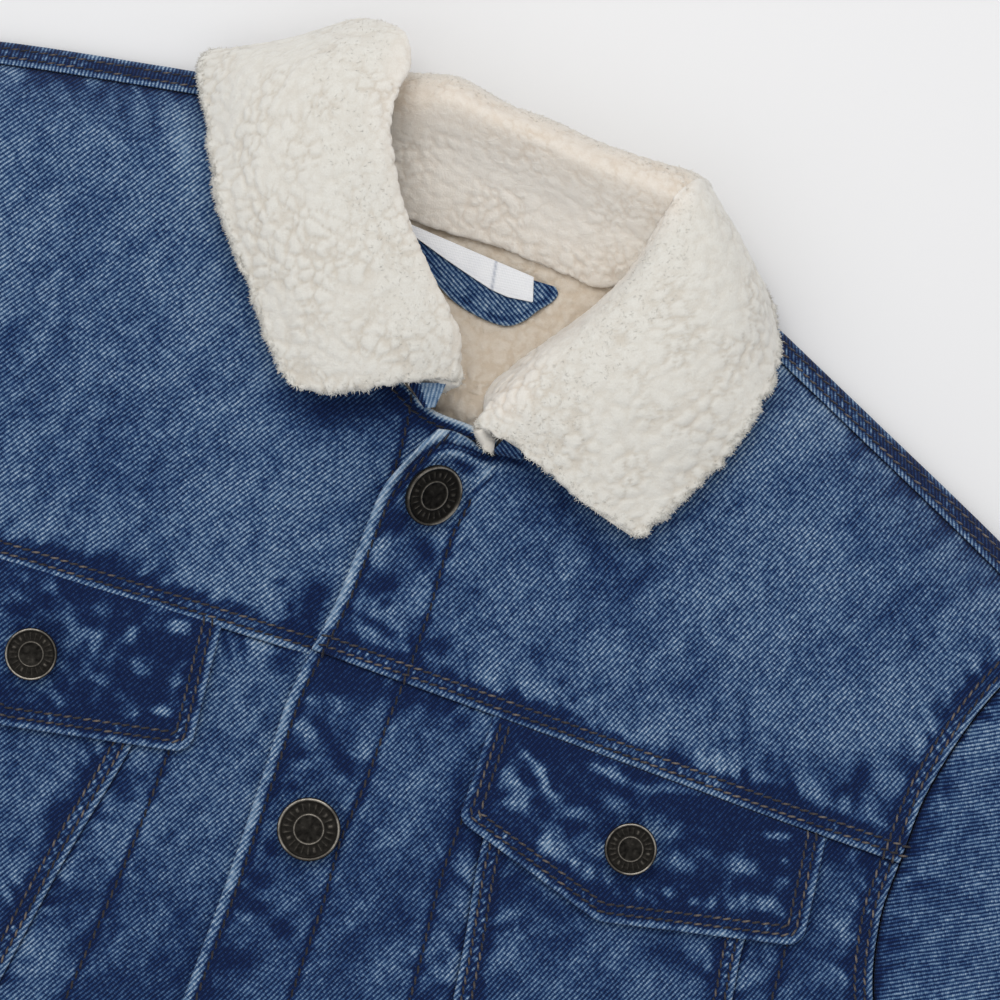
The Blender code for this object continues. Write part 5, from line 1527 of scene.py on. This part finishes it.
def slabFaces(rows, columns, flip):  # a full grid on top, every other point of it below, joined round the rim
    width = columns + 1
    top = np.arange((rows + 1) * width).reshape(rows + 1, width)
    lowShape = rows // 2 + 1, columns // 2 + 1
    low = top.size + np.arange(lowShape[0] * lowShape[1]).reshape(lowShape)
    faces = np.stack([top[:-1, :-1], top[:-1, 1:], top[1:, 1:], top[1:, :-1]],
                     axis=-1).reshape(-1, 4).tolist()
    faces += np.stack([low[:-1, :-1], low[1:, :-1], low[1:, 1:], low[:-1, 1:]],
                      axis=-1).reshape(-1, 4).tolist()
    rims = [(top[0], low[0], 1), (top[-1], low[-1], -1), (top[:, 0], low[:, 0], -1),
            (top[:, -1], low[:, -1], 1)]
    for upper, lower, hand in rims:
        for i in range(len(lower) - 1):
            a, b, c = upper[2 * i], upper[2 * i + 1], upper[2 * i + 2]
            fan = [(a, lower[i], b), (b, lower[i], lower[i + 1]), (b, lower[i + 1], c)]
            faces += fan if hand > 0 else [f[::-1] for f in fan]
    return faces if flip else [f[::-1] for f in faces]


def slabPoints(top, low):
    return np.vstack([top.reshape(-1, 3), low.reshape(-1, 3)])


def slabValues(top, low, value):  # numbers for the top's points, and one for all of those below
    return np.concatenate([top.ravel(), np.full(low[..., 0].size, value)])


def sampled(grid, rows, columns):  # values of a grid between its points
    i = np.clip(np.floor(rows).astype(int), 0, grid.shape[0] - 2)
    j = np.clip(np.floor(columns).astype(int), 0, grid.shape[1] - 2)
    s, t = rows - i, columns - j
    if grid.ndim > 2:
        s, t = s[..., None], t[..., None]
    return ((1 - s) * (1 - t) * grid[i, j] + s * (1 - t) * grid[i + 1, j] + (1 - s) * t * grid[i, j + 1]
            + s * t * grid[i + 1, j + 1])


def roundCorner(grid, share, radius):  # rounds the corner of the front end and the outer edge
    rows, columns = np.meshgrid(np.arange(grid.shape[0], dtype=float),
                                np.arange(grid.shape[1], dtype=float),
                                indexing="ij")
    reach = radius / pile["step"]
    last = grid.shape[1] - 1
    s, t = (1 - rows / reach).clip(0), (1 - (last - columns) / reach).clip(0)
    newRows = np.where(s > 0, reach * (1 - s * np.sqrt(1 - t ** 2 / 2)), rows)
    newColumns = np.where(t > 0, last - reach * (1 - t * np.sqrt(1 - s ** 2 / 2)), columns)
    return sampled(grid, newRows, newColumns), sampled(share, newRows, newColumns)


def makePile(name, flip, seed):
    grid, share = tableSurface(collarRows[name], pile["step"])
    if name != "back":
        grid, share = roundCorner(grid, share, collarCorners[name])
    rows, columns = grid.shape[0] - 1, grid.shape[1] - 1
    sign = 1.0 if flip else -1.0
    normals = gridNormals(grid) * sign
    walls = np.interp(share, np.arange(len(collarWalls[name])), collarWalls[name])
    roll = np.linspace(0, 5, columns + 1)
    walls = form["pile"] * walls * (1 - 0.6 * bell((roll - 2.0) / 0.67))[None, :]
    down, along = np.arange(rows + 1)[:, None] * pile["step"], np.arange(columns + 1)[None, :] * pile["step"]
    fromFront, fromOuter = down + 0 * share, along[:, ::-1] + 0 * share
    fromEnds = fromFront
    if name == "right":  # the other two join the next stretch at one end or both
        fromEnds = np.minimum(fromFront, fromFront[::-1])
    edge = np.minimum(fromEnds, np.minimum(fromOuter, along))
    bend = np.minimum(walls * 0.5, 2.0)
    drop = bend * (1 - np.sqrt(np.maximum(1 - (1 - np.minimum(edge / bend, 1)) ** 2, 0)))
    top = grid - normals * (drop * 0.92)[..., None]
    rising = gridNormals(top) * sign
    outward = np.zeros_like(grid)
    if name != "back":
        slopes = [np.gradient(grid, axis=k) for k in (0, 1)]
        back, out = (v / np.maximum(np.linalg.norm(v, axis=2), 1e-9)[..., None] for v in slopes)
        outward = out * smooth(1 - fromOuter / 8)[..., None] - back * smooth(1 - fromFront / 5)[..., None]
    x, y, z = top.reshape(-1, 3).T
    ragged = noise(seed + 31, x / 5, y / 5, z / 9) + 0.6 * noise(seed + 32, x / 2.1, y / 2.1, z / 4)
    ragged = pile["ragged"][name] * ragged
    high, light = pileAt(top.reshape(-1, 3), seed)
    high, light, ragged = (v.reshape(share.shape) for v in (high, light, ragged))
    limit = pile["warmTo"] + 0 * share
    if name == "back":
        inner = smooth((limit + pile["warmMore"] - roll[None, :]) / 1.1)
        calm = pile["calm"] * inner
        high, light = high * (1 - calm), 0.8 + (light - 0.8) * (1 - 0.7 * calm)
        # Painted light on the inner face below the roll and painted shade along the roll's top, which faces
        # the light
        light = light + (0.16 * bell((roll - 1.3) / 0.7) - 0.34 * bell((roll - 2.6) / 0.8))[None, :]
    else:
        if name == "left":
            limit = limit + pile["warmMore"] * smooth((share - len(collarRows[name]) + 3.5) / 2.5)
        inner = smooth((limit - roll[None, :]) / 1.1) * smooth(fromFront / 12)
        # Painted light along the outer brim, where the pile turns away from the light
        light = light + 0.15 * smooth(1 - fromOuter / 3)
    spread = ragged + np.interp(share, np.arange(9), collarSpread[name])
    top = top + rising * (high * np.minimum(walls / 4, 1)
                          - pile["sunk"])[..., None] + outward * spread[..., None]
    low = (grid - normals * (walls - drop * 0.92)[..., None] + outward * 0.3)[::2, ::2]
    points = slabPoints(top, low)
    napAndShadeValues, warm = slabValues(light, low, pile["underNap"]), slabValues(inner, low, pile["underWarm"])
    faces = slabFaces(rows, columns, flip)

    many = fibreLook["counts"][name]
    rolls = [hashed(seed + 60 + k, np.arange(many)) for k in range(3)]
    i, j = rolls[0] * rows, rolls[1] * columns
    which, brim = np.arange(many) % fibreLook["of"], fibreLook["brim"] / pile["step"]
    if name == "back":
        j = columns * (0.5 + 0.22 * rolls[1])
    else:
        j = np.where(which < fibreLook["outer"], columns - rolls[1] * brim, j)
        i = np.where(which == fibreLook["outer"], rolls[0] * brim, i)
        j = np.where(which > fibreLook["outer"], columns * (0.34 + 0.2 * rolls[1]), j)
    rising = gridNormals(top) * sign
    spots, standing, away = (sampled(g, i, j) for g in (top, rising, outward))
    standing /= np.maximum(np.linalg.norm(standing, axis=1), 1e-6)[:, None]
    hairs, hairFaces, hairLight = fibresOn(spots, standing, away, seed + 80)
    shift = len(points)
    faces += [tuple(shift + k for k in face) for face in hairFaces]
    points = np.vstack([points, hairs])
    points[:, 2] = np.maximum(points[:, 2], 0.25)
    napAndShadeValues = np.concatenate([napAndShadeValues, hairLight])
    warm = np.concatenate([warm, np.repeat(sampled(inner, i, j), 8)])
    piece = newPiece("pile_collar_" + name, points, faces, looks["sherpa"], {"nap": napAndShadeValues, "warm": warm},
                     smoothAngle=180)
    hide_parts("collar_" + name)
    return grid, normals


# The end of each undercollar beside the neck seam: its corners, and how light it is at the left and the
# right.
# The darker side is painted shadow of the collar leaf above it; the paler side is the cloth's pale reverse
undercollarEnds = {
    "right": ([(-17.0, 71.2, 28.0), (-7.2, 74.6, 30.5)], [(-10.6, 66.4, 27.6), (-7.8, 67.6, 27.6)],
              (0.16, 0.74)),
    "left": ([(10.2, 61.4, 27.4), (12.6, 67.0, 29.6)], [(18.4, 62.6, 28.2), (17.4, 66.4, 30.0)],
             (0.3, 0.36)),
}


def endOfUndercollar(name):  # a small turned corner of cloth, as an even grid
    corners = np.array(undercollarEnds[name][:2])
    s, t = np.meshgrid(np.linspace(0, 1, 13), np.linspace(0, 1, 9), indexing="ij")
    s, t = s[..., None], t[..., None]
    grid = ((1 - s) * (1 - t) * corners[0, 0] + (1 - s) * t * corners[0, 1] + s * (1 - t) * corners[1, 0]
            + s * t * corners[1, 1])
    grid[..., 2] += 0.8 * np.sin(math.pi * t[..., 0]) + 0.2 * noise(88, grid[..., 0] / 2, grid[..., 1] / 2)
    low = grid[::2, ::2] - (0, 0, 0.9)
    dark, pale = undercollarEnds[name][2]
    shade = dark + (pale - dark) * smooth((t + 0 * s - 0.2) / 0.14)[..., 0]
    shades = np.concatenate([shade.ravel(), shade[::2, ::2].ravel()])
    return slabPoints(grid, low), slabFaces(12, 8, name == "right"), shades


# It starts at this one of so many columns, and ends this many half rows before the last one
undercollarLook = {"column": 6, "columns": 15, "halfRows": 5, "wall": 1.2, "light": -0.1, "underTone": 0.36,
                   "grain": {"left": 150, "right": 95}}


def makeUndercollar(name, grid, normals, flip):
    depth = form["pile"] + form["gap"]
    columns = grid.shape[1]
    start = int(columns * undercollarLook["column"] / undercollarLook["columns"])
    rows = int(grid.shape[0] * (1 - undercollarLook["halfRows"] / (2 * len(collarRows[name]) - 1)))
    under = (grid - normals * depth)[:rows, start:][::2, ::2]
    if (under.shape[0] - 1) % 2:
        under = under[:-1]
    if (under.shape[1] - 1) % 2:
        under = under[:, :-1]
    normal = gridNormals(under) * (1.0 if flip else -1.0)
    tone = washTone(under[..., 0].ravel(), under[..., 1].ravel()).reshape(under.shape[:2])
    tone = tone + undercollarLook["light"]
    low = (under - normal * undercollarLook["wall"])[::2, ::2]
    points, tones = slabPoints(under, low), slabValues(tone, low, undercollarLook["underTone"])
    faces = slabFaces(under.shape[0] - 1, under.shape[1] - 1, flip)
    end, endFaces, endTones = endOfUndercollar(name)  # shows beside the neck seam
    faces += [tuple(len(points) + k for k in face) for face in endFaces]
    tones = np.concatenate([tones, endTones])
    points = np.vstack([points, end])
    piece = newPiece("cloth_undercollar_" + name, points, faces, looks["denim"], {"tone": tones},
                     {"cloth": clothFrame(points[:, 0], points[:, 1], undercollarLook["grain"][name])})
    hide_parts("undercollar_" + name)


def makeCollar():
    for name, flip, seed in (("left", True, 510), ("right", False, 540), ("back", False, 510)):
        grid, normals = makePile(name, flip, seed)
        if name != "back":
            makeUndercollar(name, grid, normals, flip)


liningLook = {
    "corners": [(-46, 117.5), (-31, 117.8), (-7, 118), (14, 117), (30, 115.5), (60, 105), (100, 84),
                (136, 66),
                (134, 40), (132, 0), (137, -42), (158, -78), (190, -104), (187, -327), (-187, -327),
                (-190, -100), (-158, -74), (-137, -38), (-132, 10), (-134, 50), (-136, 96), (-104, 108),
                (-74, 113)],
    # base sets the lining's tone low as painted shade of the collar over it; contrast deepens the pile's
    # painted crevice shade
    "relief": 1.6, "sunk": 0.6, "base": 0.02, "contrast": 1.6, "middle": 0.74,
    "fine": 0.75, "coarse": 5.0, "warm": 0.5,
}


def inNeck(x, y, margin=0.0):  # the part of the lining that shows
    return np.hypot((x + 3) / 44, (y - 88) / 38) < 1


def makeLining():
    ring = polygon(liningLook["corners"])


    def surface(x, y):
        z = liningHeight(x, y)
        high, light = pileAt(np.column_stack([x, y, z]), 600)
        tone = liningLook["base"] + liningLook["contrast"] * (light - liningLook["middle"])
        return z + liningLook["relief"] * high - liningLook["sunk"], tone
    piece = cutCloth("pile_lining_back", ring, surface, form["lining"], looks["sherpa"],
                     fine=liningLook["fine"],
                     coarse=liningLook["coarse"], zone=inNeck, key="nap")
    addAttribute(piece.data, "warm", np.full(len(piece.data.vertices), liningLook["warm"]))
    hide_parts("lining_back")
    declareCut(ring)


patchLook = {"arc": [(10.7, 109.8), (12.3, 108.3), (11.8, 105.8), (8.8, 101.8), (6.3, 98), (3.1, 95.3),
                     (-1.2, 94.4),
                     (-7.5, 94.8), (-13.1, 96), (-17.9, 98.1), (-22.1, 100.9), (-26, 104), (-31.5, 110)],
             "top": [(-31.5, 111), (4.3, 109.4), (7.4, 109.6), (10.7, 109.8)],
             "tone": 0.45, "wall": 0.9, "clear": 0.12}


def makeNeckPatch():
    line = through(patchLook["arc"], 1.0)
    ring = ringOf(np.array(patchLook["top"], float), line)

    def surface(px, py):
        d, a = alongLine(px, py, line)
        z = liningHeight(px, py) + form["gap"] + patchLook["wall"] + patchLook["clear"]
        z = z + 0.25 * bell((d - 0.9) / 1.0) - 0.12 * bell((d - 2.0) / 0.5)
        tone = patchLook["tone"] + 0.07 * noise(700, px / 5, py / 5) + 0.22 * bell(d / 0.7)
        # The dark line in the groove behind the pale turned edge is painted shade
        tone = tone - 0.16 * bell((d - 1.9) / 0.7) + 0.12 * bell((d - 3.4) / 1.0) * noise(701, a / 1.8)
        return z + 0.1 * noise(702, px / 6, py / 6), tone
    piece = cutCloth("cloth_neck_patch", ring, surface, patchLook["wall"], looks["denim"], 152,
                     zone=everywhere,
                     fine=0.8)
    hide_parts("neck_patch")
    declareCut(ring)


labelLook = {"corners": [(-46, 113), (-46, 111.5), (-29.6, 108.8), (-19.1, 105.9), (-11.7, 104.1),
                         (-5.1, 102.6),
                         (-0.5, 102.3), (6.8, 103.4), (4.5, 110.2), (-7.2, 110.7), (-31.4, 111.9)],
             "divider": [(-6.6, 110.8), (-5, 102.7)], "tone": 0.9, "wall": 0.4, "clear": 0.24}


def makeLabelPiece():
    corners = labelLook["corners"]
    ring = polygon(corners, 0.8)
    foot = straight(corners[2:8], 1.0)
    divider = np.array(labelLook["divider"], float)

    def surface(px, py):
        z = liningHeight(px, py) + 2 * form["gap"] + patchLook["wall"]
        z = z + labelLook["wall"] + labelLook["clear"]
        d, _ = alongLine(px, py, foot)
        across, _ = alongLine(px, py, divider)
        tone = labelLook["tone"] - 0.10 * bell((d - 1.0) / 0.35) - 0.55 * bell(across / 0.35)
        z = z + 0.3 * bell((px + 22) / 9) * smooth((112 - py) / 5) - 0.08 * bell(across / 0.5)
        return z, tone + 0.03 * noise(720, px / 4, py / 4)
    piece = cutCloth("cloth_neck_label", ring, surface, labelLook["wall"], looks["label"], 8,
                     zone=everywhere,
                     fine=0.7)
    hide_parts("neck_label")
    declareCut(ring)


buttonLook = {
    "large": 8.5, "small": 7.0, "pitch": 94.5, "first": 45.6, "last": -355.0, "shank": 1.9, "ticks": 22,
    "around": 132,
    "leaning": {"lean": 37.0, "spin": 0.4, "toward": -0.25},  # the first button, on the lifted corner
    "shift": (-0.9, 0.3, 1.3),
    "flaps": {"left": (81.6, -23.8), "right": (-85.0, -31.0)},
    "cuff": 0.62, "cuffClear": 0.3,  # its place across the cuff, and how far it stands clear of it
}


def buttonMesh(radius):
    # part of the radius, height over the back of the cap, and how bright it is rubbed
    face = [(0.0, 2.02, 0.26), (0.10, 2.02, 0.24), (0.20, 2.03, 0.26), (0.30, 2.03, 0.24),
            (0.40, 2.04, 0.20),
            (0.425, 2.08, 0.34), (0.445, 2.22, 0.72), (0.462, 2.27, 0.86), (0.480, 2.22, 0.72),
            (0.50, 2.08, 0.30),
            (0.52, 2.05, 0.20)]
    face += [(r, 2.05, 0.20) for r in np.linspace(0.54, 0.82, 12)]
    face += [(0.845, 2.07, 0.20), (0.865, 2.14, 0.30), (0.885, 2.34, 0.55), (0.905, 2.52, 0.80),
             (0.93, 2.60, 0.95),
             (0.955, 2.58, 0.92), (0.975, 2.48, 0.70), (0.99, 2.30, 0.48), (1.0, 2.0, 0.34),
             (0.998, 1.6, 0.30),
             (0.985, 1.1, 0.28), (0.95, 0.62, 0.26), (0.80, 0.48, 0.2), (0.45, 0.4, 0.2),
             (0.45, -buttonLook["shank"], 0.2), (0.0, -buttonLook["shank"], 0.2)]
    count = buttonLook["around"]
    turns = np.linspace(0, 2 * math.pi, count, endpoint=False)
    points, rubs = [(0.0, 0.0, face[0][1])], [face[0][2]]
    for r, z, rub in face[1:-1]:
        height, bright = np.full(count, z), np.full(count, rub)
        if r < 0.41 and z > 1:
            pebble = noise(31, r * radius * np.cos(turns) / 0.7, r * radius * np.sin(turns) / 0.7)
            height, bright = height + 0.07 * pebble, bright + 0.22 * pebble
        if 0.53 < r < 0.83 and z > 1:
            place = turns / (2 * math.pi) * buttonLook["ticks"]
            which = np.floor(place)
            offset = place - which - 0.5
            tall = np.where(which % 5 == 0, 0.09,
                            0.13)  # a dot at every fifth place, a short stroke at the others
            wide = np.where(which % 5 == 0, 0.26, 0.15)
            tick = np.exp(-(offset / wide) ** 4) * np.exp(-((r - 0.68) / tall) ** 4)
            height, bright = height + 0.2 * tick, bright + 0.42 * tick
            grain = noise(33, r * radius * np.cos(turns) / 0.5, r * radius * np.sin(turns) / 0.5)
            height, bright = height + 0.03 * grain, bright + 0.10 * grain
        if z > 2.3:
            bright = bright - 0.28 * smooth(noise(34, np.cos(turns) * 2.3, np.sin(turns) * 2.3))
        points += np.column_stack([r * radius * np.cos(turns), r * radius * np.sin(turns), height]).tolist()
        rubs += bright.tolist()
    points.append((0.0, 0.0, face[-1][1]))
    rubs.append(face[-1][2])
    faces = [(0, 1 + k, 1 + (k + 1) % count) for k in range(count)]
    rings = len(face) - 2
    for j in range(rings - 1):
        for k in range(count):
            a, b = 1 + j * count + k, 1 + j * count + (k + 1) % count
            faces.append((a, a + count, b + count, b))
    last = 1 + (rings - 1) * count
    faces += [(last + (k + 1) % count, last + k, len(points) - 1) for k in range(count)]
    return np.array(points), faces, rubs


def addButton(node, radius, spot, lean=0.0, spin=0.0, toward=0.0):
    points, faces, rubs = buttonMesh(radius)
    x, y = onAxes(points[:, 0], points[:, 1], -spin)
    x, z = onAxes(x, points[:, 2], math.radians(lean))
    x, y = onAxes(x, y, -toward)
    piece = newPiece("metal_" + node, np.column_stack([x, y, z]) + np.array(spot), faces, looks["metal"],
                     {"rub": rubs},
                     smoothAngle=40)
    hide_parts(node)


def makeButtons():
    clear = buttonLook["shank"] + 2 * form["gap"]

    def heightOf(function, x, y):
        return float(function(np.array([x]), np.array([y]))[0])
    y = buttonLook["first"]
    shift = buttonLook["shift"]
    spot = (shift[0], y + shift[1], heightOf(leftHeight, 0, y) + clear + shift[2])
    addButton("button_1", buttonLook["large"], spot, **buttonLook["leaning"])
    for k in (1, 2, 3):
        y = buttonLook["first"] - buttonLook["pitch"] * k
        addButton(f"button_{k + 1}", buttonLook["large"], (0, y, heightOf(leftHeight, 0, y) + clear),
                  spin=0.9 * k)
    y = buttonLook["last"]
    addButton("button_5", buttonLook["large"], (0, y, heightOf(leftHeight, 0, y) + form["proud"] + clear),
              spin=2.0)
    for name, (x, y) in buttonLook["flaps"].items():
        addButton("flap_button_" + name, buttonLook["small"], (x, y, heightOf(flapHeight, x, y) + clear),
                  spin=x)
    for name, side in sides.items():
        (outer, inner), mouth, _ = cuffLines(side)
        low, high = (outer[-1] + mouth[0]) / 2, (inner[-1] + mouth[1]) / 2
        x, y = low + (high - low) * buttonLook["cuff"]
        z = heightOf(frontHeight, x, y) + form["proud"] + buttonLook["cuffClear"] + clear
        addButton("cuff_button_" + name, buttonLook["small"], (x, y, z), spin=x)


def addLight(name, spot, aim, size, power, colour):
    lamp = bpy.data.objects.new(name, bpy.data.lights.new(name, "AREA"))
    lamp.data.shape, lamp.data.size = "DISK", size
    lamp.data.energy, lamp.data.color = power, colour
    lamp.location = spot
    lamp.rotation_euler = (Vector(aim) - Vector(spot)).to_track_quat("-Z", "Y").to_euler()
    bpy.context.scene.collection.objects.link(lamp)


studio = {  # each lamp's place from the aim, size, power and colour
    "keyLight": ((-0.30, 0.66, 1.5), 1.2, 11.85, (1.0, 0.985, 0.965)),
    "fillLight": ((-0.6, -0.8, 1.5), 1.6, 2.8, (0.95, 0.975, 1.0)),
}
sky = {"colour": (0.985, 0.99, 1.0, 1.0), "power": 0.62}


def makeStudio():
    aim = toWorld((*view["centre"], 0))
    for name, (away, size, power, colour) in studio.items():
        addLight(name, aim + away, aim, size, power, colour)
    world = bpy.data.worlds.new("studio")
    world.use_nodes = True
    background = world.node_tree.nodes["Background"]
    background.inputs[0].default_value, background.inputs[1].default_value = sky["colour"], sky["power"]
    bpy.context.scene.world = world
    bpy.context.scene.view_settings.view_transform = "Standard"
    data = bpy.data.meshes.new("floor")
    data.from_pydata([(-6, -6, 0), (6, -6, 0), (6, 6, 0), (-6, 6, 0)], [], [(0, 1, 2, 3)])
    data.materials.append(looks["floor"])
    floor = bpy.data.objects.new("floor", data)
    bpy.context.scene.collection.objects.link(floor)


makeBack()
makeLining()
print("back and lining laid")
for name, side, hand, height, calm in (("right", rightSide, -1, rightHeight, unlapped),
                                       ("left", leftSide, 1, leftHeight, None)):
    makeFront(name, side, hand, height, calm)
    makeSleeve(name, side)
    makeFlap(name)
print("fronts and sleeves laid")
makeCollar()
makeNeckPatch()
makeLabelPiece()
print("collar made")
makeButtons()
makeStitches()
print("buttons and stitches made")
makeStudio()
bpy.context.view_layer.update()
